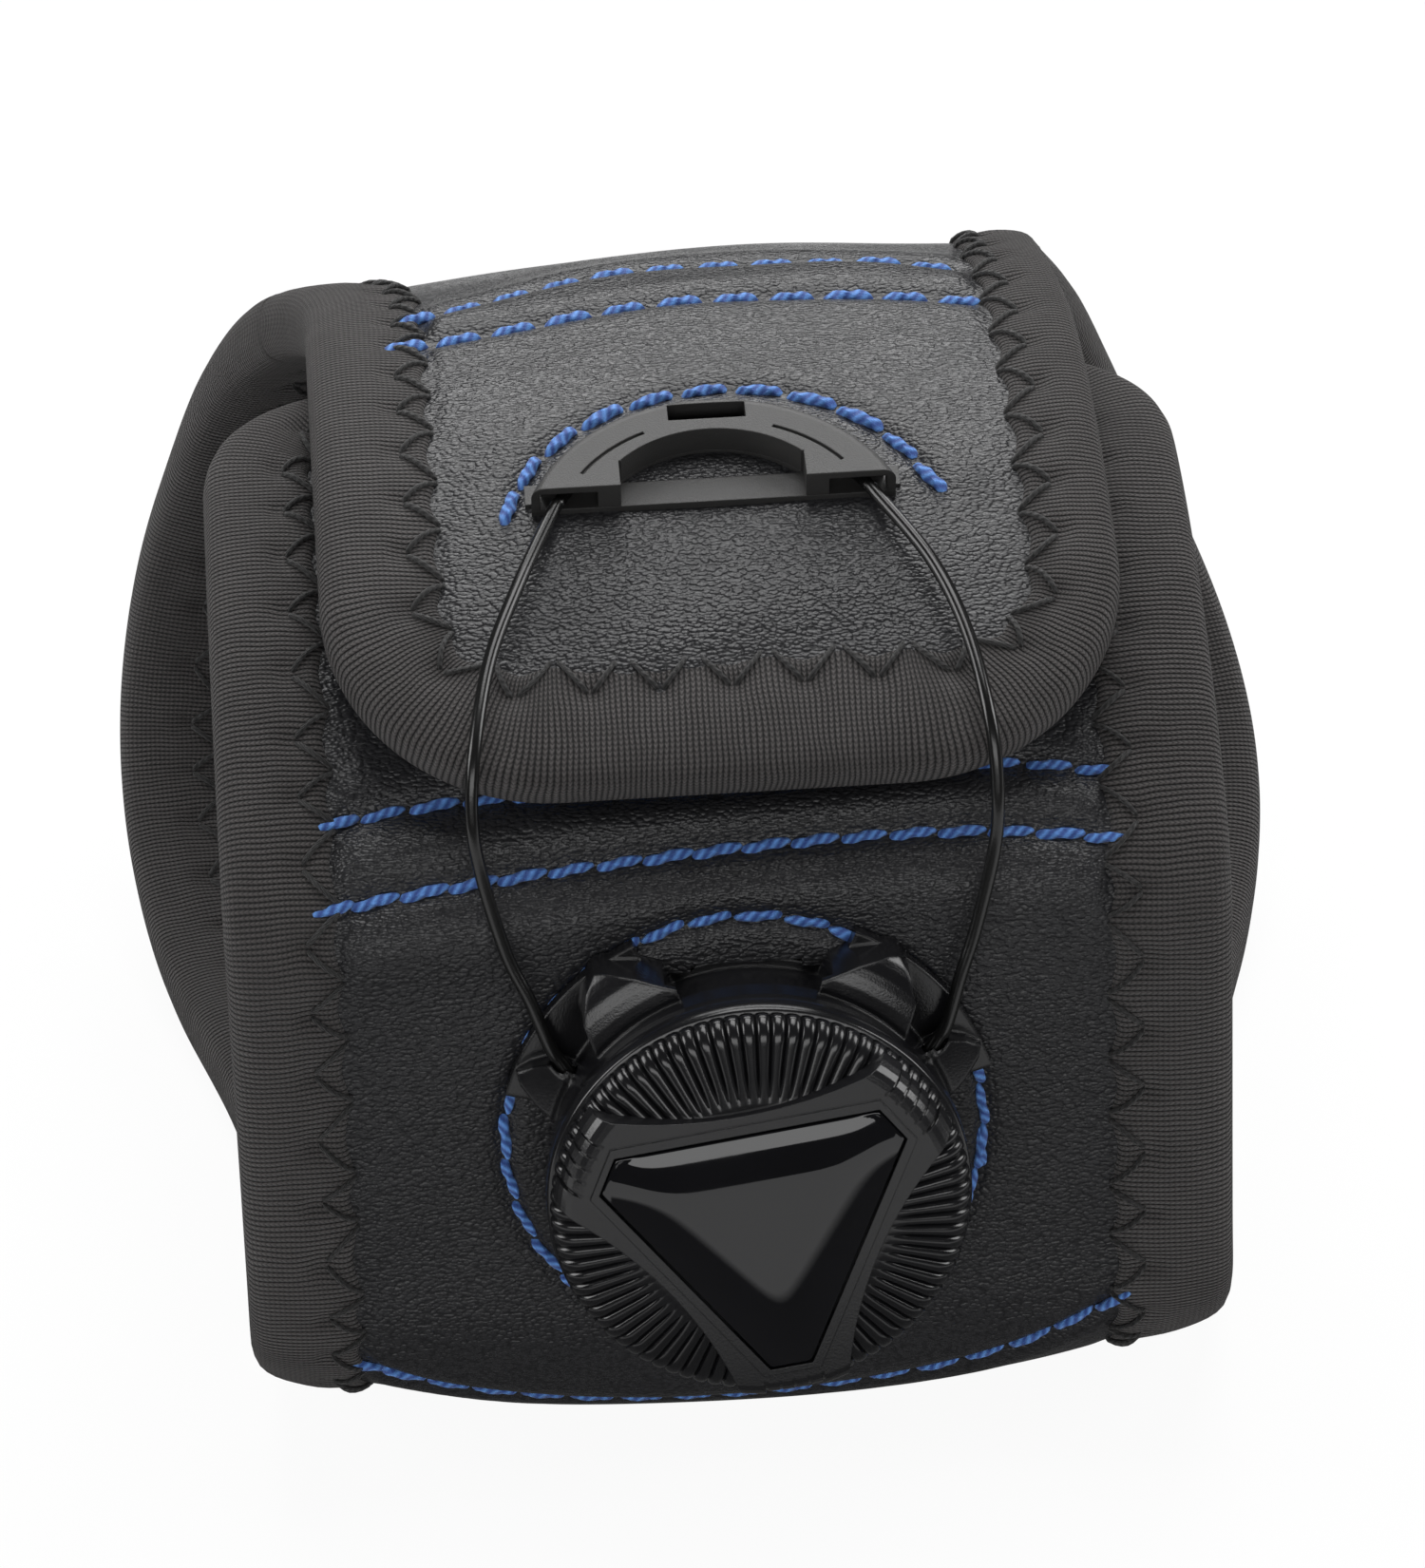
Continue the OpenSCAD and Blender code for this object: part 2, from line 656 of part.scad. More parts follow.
guide_turn = flap_end + deg(guide_at / flap_r);
guide_d = 9.2;      // depth of the guide along the strap
guide_r = 14.6;     // radius of its outline
guide_arc_y = guide_d / 2 - guide_r;
floor_t = 0.9;      // thickness of the base plate
guide_top = guide_d / 2;
guide_foot = -guide_d / 2;
leg_x = 12;         // distance of the pockets in the legs from the middle
channel_r = 12.7;   // bend radius of the lace inside, round the outline's centre
channel_a = 28;     // direction in which its bend ends
lace_z = 1.65;      // height of the lace inside
mouth_y = guide_foot + 0.1;         // where the lace leaves the guide

module on_guide() {
    translate([0, flap_c[0] + flap_r * out(guide_turn)[0], flap_c[1] + flap_r * out(guide_turn)[1]])
        rotate([90 - guide_turn, 0, 0]) children();
}

module front_half(h) {
    translate([-20, guide_foot, -1]) cube([40, guide_d + 2, h + 1]);
}

// arched window in front of the lace
module guide_window(z0) {
    intersection() {
        translate([-6.7, guide_foot + 2.5, z0]) cube([13.4, 4, 9]);
        translate([0, guide_foot - 3.9, z0]) cylinder(r = 9.4, h = 9);
    }
}

module guide_base() {
    color([0.1, 0.1, 0.105]) on_guide() difference() {
        union() {
            intersection() {
                translate([0, guide_arc_y, -0.5]) cylinder(r = guide_r, h = floor_t + 0.5);
                front_half(floor_t);
            }
            both_sides() translate([guide_r - 2.4, guide_foot + 0.8, -0.5])
                cube([1.8, 2, floor_t + 0.4]);
        }
        translate([-30, 0, -flap_r]) rotate([0, 90, 0]) cylinder(r = flap_r + 0.02, h = 60, $fn = 180);
        guide_window(-1);
        translate([-2.9, guide_top - 2.6, -1]) cube([5.8, 1.7, 4]);
    }
}

// hollow of the cover: a pocket in each leg and the bend between them
module lace_channel() {
    both_sides() translate([leg_x - 3.4, guide_foot - 1, 0]) cube([4.3, 2.6, 2.5]);
    translate([0, guide_arc_y, 0]) difference() {
        cylinder(r = channel_r + 0.8, h = 2.5);
        translate([0, 0, -1]) cylinder(r = channel_r - 0.8, h = 5);
    }
}

module guide_cover() {
    color([0.1, 0.1, 0.105]) on_guide() difference() {
        intersection() {
            translate([0, guide_arc_y, floor_t]) rotate_extrude() polygon(concat(
                [[0, 0], [guide_r, 0]],
                [for (a = [0:18:90]) [guide_r - 0.9 * (1 - cos(a)),
                                      guide_h - floor_t - 0.9 * (1 - sin(a))]],
                [[0, guide_h - floor_t]]));
            front_half(guide_h + 1);
        }
        guide_window(0);
        translate([-6.9, guide_foot - 1, 0]) cube([13.8, 3.6, 9]);
        translate([-2.9, guide_top - 2.6, 0]) cube([5.8, 1.7, 9]);
        lace_channel();
        both_sides() translate([0, guide_arc_y, guide_h - 0.25])
            sector(guide_r - 2.9, guide_r - 2.6, 35, 66, 1);
    }
}

// the lace inside the guide, from one leg's mouth to the other, in the guide's frame
bend_end = [channel_r * cos(channel_a), guide_arc_y + channel_r * sin(channel_a)];

// a place on the lace's straight way out, at a distance below the mouth
function way_out(side, y) =
    [side * (bend_end[0] + (bend_end[1] - mouth_y + y) * tan(channel_a)), mouth_y - y, lace_z];
guide_route = concat(
    [way_out(-1, 0)],
    [for (i = [0:12]) let (a = 180 - channel_a - i * (90 - channel_a) / 6)
        [channel_r * cos(a), guide_arc_y + channel_r * sin(a), lace_z]],
    [way_out(1, 0)]);

module guide_lace() {
    color([0.04, 0.04, 0.04]) on_guide() tube(guide_route, [0, 0, 1]);
}

// ---- lace outside ----

// hand-laid points between the guide and the dial, in the strap's frame
left_way = [[-15, -18, 69], [-17.5, -24, 66.5], [-19, -30, 63], [-19.5, -32.5, 58.5],
            [-19, -33.5, 54], [-17.5, -35, 48], [-16, -36, 44.5]];
right_way = [[15.5, -18, 69], [17.5, -24, 66.5], [18.5, -30, 63], [18.8, -32.5, 58.5],
             [18.5, -33.5, 54], [17, -35, 48], [15.8, -36, 44.5]];

// places in the frames of the guide and of the dial, moved into the strap's frame
function from_guide(p) =
    let (c = flap_c + flap_r * out(guide_turn) + p[1] * up(guide_turn) + p[2] * out(guide_turn))
    [p[0], c[0], c[1]];
function from_dial(p) =
    let (c = dial_c + p[1] * up(dial_lean) + p[2] * out(dial_lean)) [p[0], c[0], c[1]];

// place on the lace's line through the port, at a distance from the tangent point
function port_place(side, d) =
    from_dial([-side * (lace_line * -sin(port_turn) + d * cos(port_turn)),
               lace_line * cos(port_turn) + d * sin(port_turn), port_z]);

// whole free stretch: both ends leave square to what they meet
function lace_route(side, way) = concat(
    [from_guide(way_out(side, 0.05)), from_guide(way_out(side, 1.2))],
    way,
    [port_place(side, port_out + 1.2), port_place(side, port_out)]);

// curve through the points of a route, with two more rings in each long step
function bow(p, i, t) =
    let (
        n = len(p) - 1,
        a = p[i],
        b = p[i + 1],
        ga = i == 0 ? b - a : (b - p[i - 1]) / 2,
        gb = i == n - 1 ? b - a : (p[i + 2] - a) / 2)
    a * (2 * t * t * t - 3 * t * t + 1) + ga * (t * t * t - 2 * t * t + t)
    + b * (3 * t * t - 2 * t * t * t) + gb * (t * t * t - t * t);
function soft_route(p) = concat(
    [p[0]],
    [for (i = [1:len(p) - 3]) for (t = [0, 1 / 3, 2 / 3]) bow(p, i, t)],
    [p[len(p) - 2], p[len(p) - 1]]);

module lace_tail() {
    color([0.04, 0.04, 0.04]) on_dial() on_lace_line() translate([0, 0, 1])
        cylinder(d = lace_d, h = port_out - 1, $fn = 24);
}

module lace_tail_left() {
    lace_tail();
}

module lace_tail_right() {
    mirror([1, 0, 0]) lace_tail();
}

module lace_left() {
    color([0.04, 0.04, 0.04]) tube(soft_route(lace_route(-1, left_way)), [1, 0, 0]);
}

module lace_right() {
    color([0.04, 0.04, 0.04]) tube(soft_route(lace_route(1, right_way)), [1, 0, 0]);
}

band_lining();
band_pad();
band_facing();
band_binding();
flap_lining();
flap_pad();
flap_facing();
flap_binding();
dial_base();
ratchet_ring();
spool();
lace_winding();
axle_screw();
detent_bush();
pawl_ring();
knob_shell();
knob_frame();
knob_inlay();
guide_base();
guide_cover();
guide_lace();
lace_tail_left();
lace_tail_right();
lace_left();
lace_right();
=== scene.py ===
"""Looks of the padded limb strap with its lace dial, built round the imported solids.

Each sub-assembly is a class that holds its sizes in millimetres; they are turned into
metres when a mesh is made. The strap stands on z = 0, the loop runs round the X axis and
the dial faces -Y.
"""

import json
import logging
import math
from dataclasses import dataclass, field
from enum import Enum
from typing import Callable, Sequence

import bpy
import numpy as np
from mathutils import Matrix, Vector

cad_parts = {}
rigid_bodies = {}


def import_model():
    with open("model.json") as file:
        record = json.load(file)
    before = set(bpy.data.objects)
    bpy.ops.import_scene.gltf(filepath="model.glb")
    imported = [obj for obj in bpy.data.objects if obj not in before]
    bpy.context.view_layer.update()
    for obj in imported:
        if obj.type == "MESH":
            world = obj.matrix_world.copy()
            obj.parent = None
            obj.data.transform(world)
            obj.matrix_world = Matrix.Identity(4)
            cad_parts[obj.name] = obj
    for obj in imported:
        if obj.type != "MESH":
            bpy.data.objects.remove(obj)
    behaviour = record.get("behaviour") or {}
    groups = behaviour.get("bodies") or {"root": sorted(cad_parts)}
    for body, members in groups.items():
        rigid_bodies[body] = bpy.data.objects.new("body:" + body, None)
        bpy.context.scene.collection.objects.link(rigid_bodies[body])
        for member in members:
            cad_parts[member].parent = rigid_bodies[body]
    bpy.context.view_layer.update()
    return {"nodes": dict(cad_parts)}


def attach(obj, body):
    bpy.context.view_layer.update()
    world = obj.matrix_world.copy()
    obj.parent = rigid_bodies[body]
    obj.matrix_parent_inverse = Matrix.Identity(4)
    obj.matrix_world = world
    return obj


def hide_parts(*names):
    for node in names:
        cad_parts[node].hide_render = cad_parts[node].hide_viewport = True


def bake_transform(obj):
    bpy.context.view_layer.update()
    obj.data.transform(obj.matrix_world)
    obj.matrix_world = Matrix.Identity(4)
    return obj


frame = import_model()

MM = 0.001
log = logging.getLogger("strap")
Array = np.ndarray
Pair = tuple[float, float]
Trio = tuple[float, float, float]
Object = bpy.types.Object
Material = bpy.types.Material
Socket = bpy.types.NodeSocket


# ---------------------------------------------------------------- small maths


def ease(t: Array) -> Array:
    """Smooth step from 0 to 1."""
    c = np.clip(t, 0.0, 1.0)
    return c * c * (3 - 2 * c)


def bell(d: Array, width: float) -> Array:
    """Rounded bump of height 1 that fades over the given width."""
    return np.exp(-((np.asarray(d) / width) ** 2))


def bumps(d: Array, rows: Sequence[Trio]) -> Array:
    """Sum of bells, each given by its height, place and width."""
    return sum(height * bell(d - at, width) for height, at, width in rows)


def out(a: Array) -> Array:
    """Direction that faces away from the strap, for an angle up from the front."""
    r = np.radians(a)
    return np.stack([-np.cos(r), np.sin(r)], -1)


def up(a: Array) -> Array:
    """Direction that climbs along the strap, for an angle up from the front."""
    r = np.radians(a)
    return np.stack([np.sin(r), np.cos(r)], -1)


def ripple(x: Array, s: Array, size: float, seed: float) -> Array:
    """Slow uneven swell of the fabric, about -1 to 1.

    Args:
        x: places across the strap.
        s: places along the strap.
        size: usual distance between two swells.
        seed: number that picks another pattern.

    Returns:
        The height at each place.
    """
    k = 2 * math.pi / size
    return (
        np.sin(k * (0.83 * x + 0.41 * s) + seed)
        + np.sin(k * (-0.47 * x + 0.77 * s) * 1.31 + 2.1 * seed)
        + 0.6 * np.sin(k * (0.35 * x - 1.12 * s) * 1.9 + 3.7 * seed)
    ) / 2.6


# ---------------------------------------------------------------- profile of the strap


@dataclass(frozen=True)
class StrapLine:
    """Side profile and widths of the loop, the same as in the solids."""

    flap_w: float = 59.4
    panel_w: float = 74.5
    back_w: float = 96.0
    strap_t: float = 4.3
    lining_t: float = 0.8
    bind_w: float = 8.7
    flap_bind_w: float = 7.8
    end_bind_w: float = 9.6
    bind_lip: float = 0.7
    corner_r: float = 17.0
    tongue_corner_r: float = 14.0
    tongue_l: float = 49.0
    fold_rise: float = 5.4
    flap_r: float = 63.0
    flap_z: float = 8.2
    flap_end: float = 54.0
    bend_at: float = 52.0
    crest: float = 111.0
    dial_lean: float = 10.0
    flat_below: float = 13.5
    flat_above: float = 14.0
    panel_r: float = 14.0
    lie_gap: float = 0.3
    loop_y: float = 6.65
    edge_in: float = 1.1
    flare_s: float = 70.0
    narrow_s: float = 36.0
    fold_span: float = 20.0
    fold_low: float = 3.0
    rise_power: float = 2.5
    flare_lead: float = 8.0     # how far before the crest the band starts to widen
    tape_lead: float = 10.0     # how far before the crest the binding starts to widen
    tape_span: float = 50.0
    cut: float = 12.0           # how far behind the crest flap and band meet
    waist: Trio = (0.8, 108, 13)                        # depth, place, width
    limp_from: float = 14.0     # how far from the middle the sagging begins
    drawn_in: tuple[Trio, ...] = ((1.7, 8, 15), (1.5, 38, 14))
    sunk_left: tuple[Trio, ...] = ((1.5, 4, 24),)
    sunk_right: tuple[Trio, ...] = ((0.4, 14, 10),)
    sway_path: tuple = ((0, 0), (18, -1), (30, -1), (36, -0.6), (48, -0.6), (60, 0), (66, 0.4),
                        (72, 0.7), (80, 0.9), (112, 1), (124, 0.9), (130, 0.65), (136, 0.4),
                        (142, -0.15), (148, -0.85))

    sway_mean: tuple = (-4, -2, 0, 2, 4)

    @property
    def flap_c(self) -> Array:
        """Centre of the flap's arc."""
        return np.array([self.loop_y, self.flap_z])

    @property
    def back_r(self) -> float:
        """Radius of the loop's back."""
        sc = math.sin(math.radians(self.crest))
        return (self.flap_z + self.flap_r * sc - self.bind_lip) / (1 + sc)

    @property
    def back_c(self) -> Array:
        """Centre of the loop's back."""
        return self.flap_c + (self.flap_r - self.back_r) * out(self.crest)

    @property
    def tongue_r(self) -> float:
        """Radius of the tongue under the flap."""
        return self.flap_r - self.strap_t - 2 * self.bind_lip - self.lie_gap

    @property
    def bend_c(self) -> Array:
        """Centre of the bend between the dial's flat and the tongue."""
        return self.flap_c + (self.tongue_r - self.panel_r) * out(self.bend_at)

    @property
    def flat_top(self) -> Array:
        """Upper end of the dial's flat."""
        return self.bend_c + self.panel_r * out(self.dial_lean)

    @property
    def dial_c(self) -> Array:
        """Place of the dial's axis on the facing."""
        return self.flat_top - self.flat_above * up(self.dial_lean)

    @property
    def flat_foot(self) -> Array:
        """Lower end of the dial's flat."""
        return self.dial_c - self.flat_below * up(self.dial_lean)

    @property
    def fold_r(self) -> float:
        """Radius of the front fold."""
        lean = math.sin(math.radians(self.dial_lean))
        return (self.flat_foot[1] - self.bind_lip) / (1 + lean)

    @property
    def fold_c(self) -> Array:
        """Centre of the front fold."""
        return self.flat_foot - self.fold_r * out(self.dial_lean)

    @property
    def marks(self) -> tuple[float, float, float, float, float, float]:
        """Distances from the crest to the ends of back, floor, fold, flat, bend and tongue."""
        back_s = self.back_r * math.radians(270 - self.crest)
        floor_s = back_s + self.back_c[0] - self.fold_c[0]
        fold_s = floor_s + self.fold_r * math.radians(90 + self.dial_lean)
        flat_s = fold_s + self.flat_below + self.flat_above
        bend_s = flat_s + self.panel_r * math.radians(self.bend_at - self.dial_lean)
        return back_s, floor_s, fold_s, flat_s, bend_s, bend_s + self.tongue_l

    @property
    def crest_u(self) -> float:
        """Distance of the crest from the flap's free end."""
        return self.flap_r * math.radians(self.crest - self.flap_end)

    @property
    def dial_s(self) -> float:
        """Distance of the dial's axis along the band."""
        return self.marks[2] + self.flat_below

    def band_place(self, s: Array) -> Array:
        """Places (y, z, direction, edge rise) along the band, from the crest over the back."""
        s = np.asarray(s, float)
        back_s, floor_s, fold_s, flat_s, bend_s, _ = self.marks

        def arc(c: Array, r: float, a: Array) -> Array:
            """Places and directions on an arc."""
            return np.concatenate([c + r * out(a), a[..., None]], -1)

        lean = np.full_like(s, 360 + self.dial_lean)
        pieces = [
            arc(self.back_c, self.back_r, self.crest + np.degrees(s / self.back_r)),
            np.stack([self.back_c[0] - (s - back_s), np.full_like(s, self.bind_lip),
                      np.full_like(s, 270.0)], -1),
            arc(self.fold_c, self.fold_r, 270 + np.degrees((s - floor_s) / self.fold_r)),
            np.concatenate([self.flat_foot + (s - fold_s)[..., None] * up(self.dial_lean),
                            lean[..., None]], -1),
            arc(self.bend_c, self.panel_r, 360 + self.dial_lean
                + np.degrees((s - flat_s) / self.panel_r)),
            arc(self.flap_c, self.tongue_r, 360 + self.bend_at
                + np.degrees((s - bend_s) / self.tongue_r)),
        ]
        limits = [s <= back_s, s <= floor_s, s <= fold_s, s <= flat_s, s <= bend_s,
                  np.ones_like(s, bool)]
        place = np.select([m[..., None] for m in limits], pieces)
        d = np.abs(s - (floor_s + fold_s) / 2 + self.fold_low) / self.fold_span
        bump = np.where(d < 1, np.cos(np.radians(90 * np.minimum(d, 1))) ** 2, 0)
        return np.concatenate([place, (self.fold_rise * bump)[..., None]], -1)

    def flap_place(self, u: Array) -> Array:
        """Places along the flap from its free end, running on over the crest."""
        u = np.asarray(u, float)
        a = self.flap_end + np.degrees(u / self.flap_r)
        arc = np.concatenate([self.flap_c + self.flap_r * out(a), a[..., None],
                              np.zeros_like(a)[..., None]], -1)
        return np.where((u <= self.crest_u)[..., None], arc, self.band_place(u - self.crest_u))

    def band_half(self, s: Array) -> Array:
        """Half width of the band."""
        s = np.asarray(s, float)
        lead = self.flare_lead
        low = self.flap_w + (self.back_w - self.flap_w) * ease((s + lead) / (self.flare_s + lead))
        high = self.panel_w + (self.back_w - self.panel_w) * bell(s - self.flare_s, self.narrow_s)
        return np.where(s < self.flare_s, low, high) / 2 - bumps(s, [self.waist])

    def flap_half(self, u: Array) -> Array:
        """Half width of the flap."""
        return np.where(u < self.crest_u - self.flare_lead, self.flap_w / 2,
                        self.band_half(u - self.crest_u))

    def band_tape(self, s: Array) -> Array:
        """Width of the binding along the band."""
        s = np.asarray(s, float)
        share = ease((s + self.tape_lead) / self.tape_span)
        return self.flap_bind_w + (self.bind_w - self.flap_bind_w) * share

    def flap_tape(self, u: Array) -> Array:
        """Width of the binding along the flap's sides."""
        return self.band_tape(np.asarray(u, float) - self.crest_u)

    def band_sway(self, s: Array) -> Array:
        """How far the band's middle strays to the right."""
        places, shifts = np.transpose(self.sway_path)
        s = np.asarray(s, float)
        return np.mean([np.interp(s + d, places, shifts) for d in self.sway_mean], 0)

    def flap_sway(self, u: Array) -> Array:
        """How far the flap's middle strays to the right."""
        return self.band_sway(np.asarray(u, float) - self.crest_u)

    def slump(self, x: Array, t: Array) -> tuple[Array, Array]:
        """Soft sagging near the crest.

        Args:
            x: places across.
            t: distances behind the crest.

        Returns:
            How far the right edge is drawn in, and how far the face sinks.
        """
        right = ease((x - self.limp_from) / self.limp_from)
        left = ease((2 - x) / (2 * self.limp_from))
        sunk = left * bumps(t, self.sunk_left) + right * bumps(t, self.sunk_right)
        return right * bumps(t, self.drawn_in), sunk


@dataclass(frozen=True)
class Run:
    """One strap seen as a surface: x across, s along, h above its face."""

    line: StrapLine
    place: Callable[[Array], Array]
    half: Callable[[Array], Array]
    tape: Callable[[Array], Array]
    sway: Callable[[Array], Array]
    lean: float     # how much wider the left tape is than the mean of both
    crest_s: float
    tip: float
    corner_r: float
    sense: int      # +1 where s grows towards the tip, -1 where it falls

    def lay(self, x: Array, s: Array, h: Array) -> Array:
        """Points in millimetres for places on the strap."""
        x, s, h = np.broadcast_arrays(np.asarray(x, float), np.asarray(s, float),
                                      np.asarray(h, float))
        p = self.place(s)
        a = np.radians(p[..., 2])
        rise = p[..., 3] * (2 * np.abs(x) / self.line.panel_w) ** self.line.rise_power
        drawn, sunk = self.line.slump(x, s - self.crest_s)
        x, h = x - drawn, h - sunk
        return np.stack([x + self.sway(s), p[..., 0] - h * np.cos(a),
                         p[..., 1] + h * np.sin(a) + rise], -1)

    def room(self, x: Array, s: Array) -> Array:
        """Distance inside the binding's inner edge."""
        return self.half(s) - self.tape(s) + self.lean * np.sign(x) - np.abs(x)

    def normal(self, s: Array) -> Array:
        """Outward direction at a distance along the strap."""
        a = np.radians(self.place(np.asarray(s, float))[..., 2])
        return np.stack([np.zeros_like(a), -np.cos(a), np.sin(a)], -1)

    def round_half(self, s: Array, inset: float) -> Array:
        """Half width with the tip's round corners, drawn in by an inset."""
        d = np.abs(self.tip - s)
        r = self.corner_r
        side = self.half(s)
        arc = side - r + np.sqrt(np.maximum(0, (r - inset) ** 2 - (r - d) ** 2))
        return np.where(d >= r, side - inset, arc)


# ---------------------------------------------------------------- meshes


def link(obj: Object) -> Object:
    """Puts an object into the scene and hands it back."""
    bpy.context.scene.collection.objects.link(obj)
    return obj


def make_mesh(name: str, points: Array, faces: Sequence, uv: Array | None = None,
              material: Material | None = None, sharp: float = 50.0) -> Object:
    """Makes a smooth-shaded mesh object.

    Args:
        name: name of the object.
        points: corners in millimetres.
        faces: corner indices of each face.
        uv: one pair for every corner of the mesh, in millimetres.
        material: finish of all faces.
        sharp: angle in degrees above which an edge stays crisp.

    Returns:
        The new object, at the origin.
    """
    mesh = bpy.data.meshes.new(name)
    mesh.from_pydata((np.asarray(points, float) * MM).tolist(), [], [list(f) for f in faces])
    mesh.update()
    mesh.shade_smooth()
    mesh.set_sharp_from_angle(angle=math.radians(sharp))
    if uv is not None:
        layer = mesh.uv_layers.new(name="UVMap")
        corner = np.empty(len(mesh.loops), np.int32)
        mesh.loops.foreach_get("vertex_index", corner)
        layer.data.foreach_set("uv", np.asarray(uv, float)[corner].astype(np.float32).ravel())
    if material is not None:
        mesh.materials.append(material)
    return link(bpy.data.objects.new(name, mesh))


def lattice(rows: int, cols: int) -> list[list[int]]:
    """Quads between closed rings of equal length."""
    i, j = np.meshgrid(np.arange(rows - 1), np.arange(cols), indexing="ij")
    k = (j + 1) % cols
    quads = np.stack([i * cols + j, i * cols + k, (i + 1) * cols + k, (i + 1) * cols + j], -1)
    return quads.reshape(-1, 4).tolist()


def skin(name: str, rings: Array, uv: Array | None = None, flip: bool = False,
         material: Material | None = None, sharp: float = 50.0) -> Object:
    """Closed skin over rings of points, with a cap at each end.

    Args:
        name: name of the object.
        rings: array of rings, points and coordinates.
        uv: array of rings, points and two numbers.
        flip: True where the faces come out inside out.
        material: finish of the piece.
        sharp: angle above which an edge stays crisp.

    Returns:
        The new object.
    """
    m, n = rings.shape[:2]
    faces = lattice(m, n)
    faces += [list(range(n))[::-1], list(range((m - 1) * n, m * n))]
    if flip:
        faces = [f[::-1] for f in faces]
    return make_mesh(name, rings.reshape(-1, 3), faces,
                     None if uv is None else uv.reshape(-1, 2), material, sharp)


def smooth_path(points: Array, per_leg: int) -> Array:
    """Curve through points, with more points on each leg."""
    p = np.asarray(points, float)
    g = np.gradient(p, axis=0)
    g[0], g[-1] = p[1] - p[0], p[-1] - p[-2]
    t = np.linspace(0, 1, per_leg, endpoint=False)[:, None]
    legs = [p[i] * (2 * t**3 - 3 * t**2 + 1) + g[i] * (t**3 - 2 * t**2 + t)
            + p[i + 1] * (3 * t**2 - 2 * t**3) + g[i + 1] * (t**3 - t**2)
            for i in range(len(p) - 1)]
    return np.concatenate(legs + [p[-1:]])


def run_of(path: Array) -> Array:
    """Distance of each point from the start of its path."""
    return np.concatenate([[0], np.cumsum(np.linalg.norm(np.diff(path, axis=0), axis=1))])


def softened(padded: Array, reach: int) -> Array:
    """Running mean of places, over as many neighbours as the reach."""
    kernel = np.hanning(reach) / np.hanning(reach).sum()
    return np.stack([np.convolve(padded[:, k], kernel, "valid") for k in range(2)], -1)


def spaced(points: Array, step: float) -> Array:
    """Points at even distances along a path."""
    p = np.asarray(points, float)
    d = run_of(p)
    n = max(2, int(round(d[-1] / step)) + 1)
    t = np.linspace(0, d[-1], n)
    return np.stack([np.interp(t, d, p[:, k]) for k in range(p.shape[1])], -1)


def tube(name: str, path: Array, radius: float, sides: int, material: Material) -> Object:
    """Round tube along a path in millimetres, with its own lengthwise UV."""
    d = np.gradient(path, axis=0)
    d /= np.linalg.norm(d, axis=1)[:, None]
    side = np.array([1.0, 0, 0])
    rings, uvs = [], []
    a = np.linspace(0, 2 * math.pi, sides, endpoint=False)
    for c, t, run in zip(path, d, run_of(path)):
        side = side - t * side.dot(t)
        side /= np.linalg.norm(side)
        other = np.cross(t, side)
        rings.append(c + radius * (np.cos(a)[:, None] * side + np.sin(a)[:, None] * other))
        uvs.append(np.stack([np.full(sides, run), a], -1))
    return skin(name, np.array(rings), np.array(uvs), False, material)


# ---------------------------------------------------------------- finishes


class Builder:
    """Adds nodes to a tree and links them."""

    def __init__(self, tree: bpy.types.NodeTree) -> None:
        """Takes the tree to build in."""
        self.tree = tree

    def node(self, kind: str, links: dict | None = None, **settings: object) -> bpy.types.Node:
        """Adds a node.

        Args:
            kind: node type.
            links: what goes into each input, by name or number.
            **settings: attributes of the node.

        Returns:
            The node.
        """
        made = self.tree.nodes.new(kind)
        for key, value in settings.items():
            setattr(made, key, value)
        for key, value in (links or {}).items():
            self.put(value, made.inputs[key])
        return made

    def put(self, value: object, socket: Socket) -> None:
        """Links an output into a socket, or sets the socket's number or colour."""
        if isinstance(value, Socket):
            self.tree.links.new(value, socket)
        elif socket.type == "RGBA" and len(value) == 3:
            socket.default_value = (*value, 1.0)
        else:
            socket.default_value = value

    def math(self, operation: str, *values: object) -> Socket:
        """One step of arithmetic on numbers or outputs."""
        return self.node("ShaderNodeMath", dict(enumerate(values)), operation=operation).outputs[0]

    def add(self, a: object, b: object) -> Socket:
        """Sum of two numbers or outputs."""
        return self.math("ADD", a, b)

    def mul(self, a: object, b: object) -> Socket:
        """Product of two numbers or outputs."""
        return self.math("MULTIPLY", a, b)


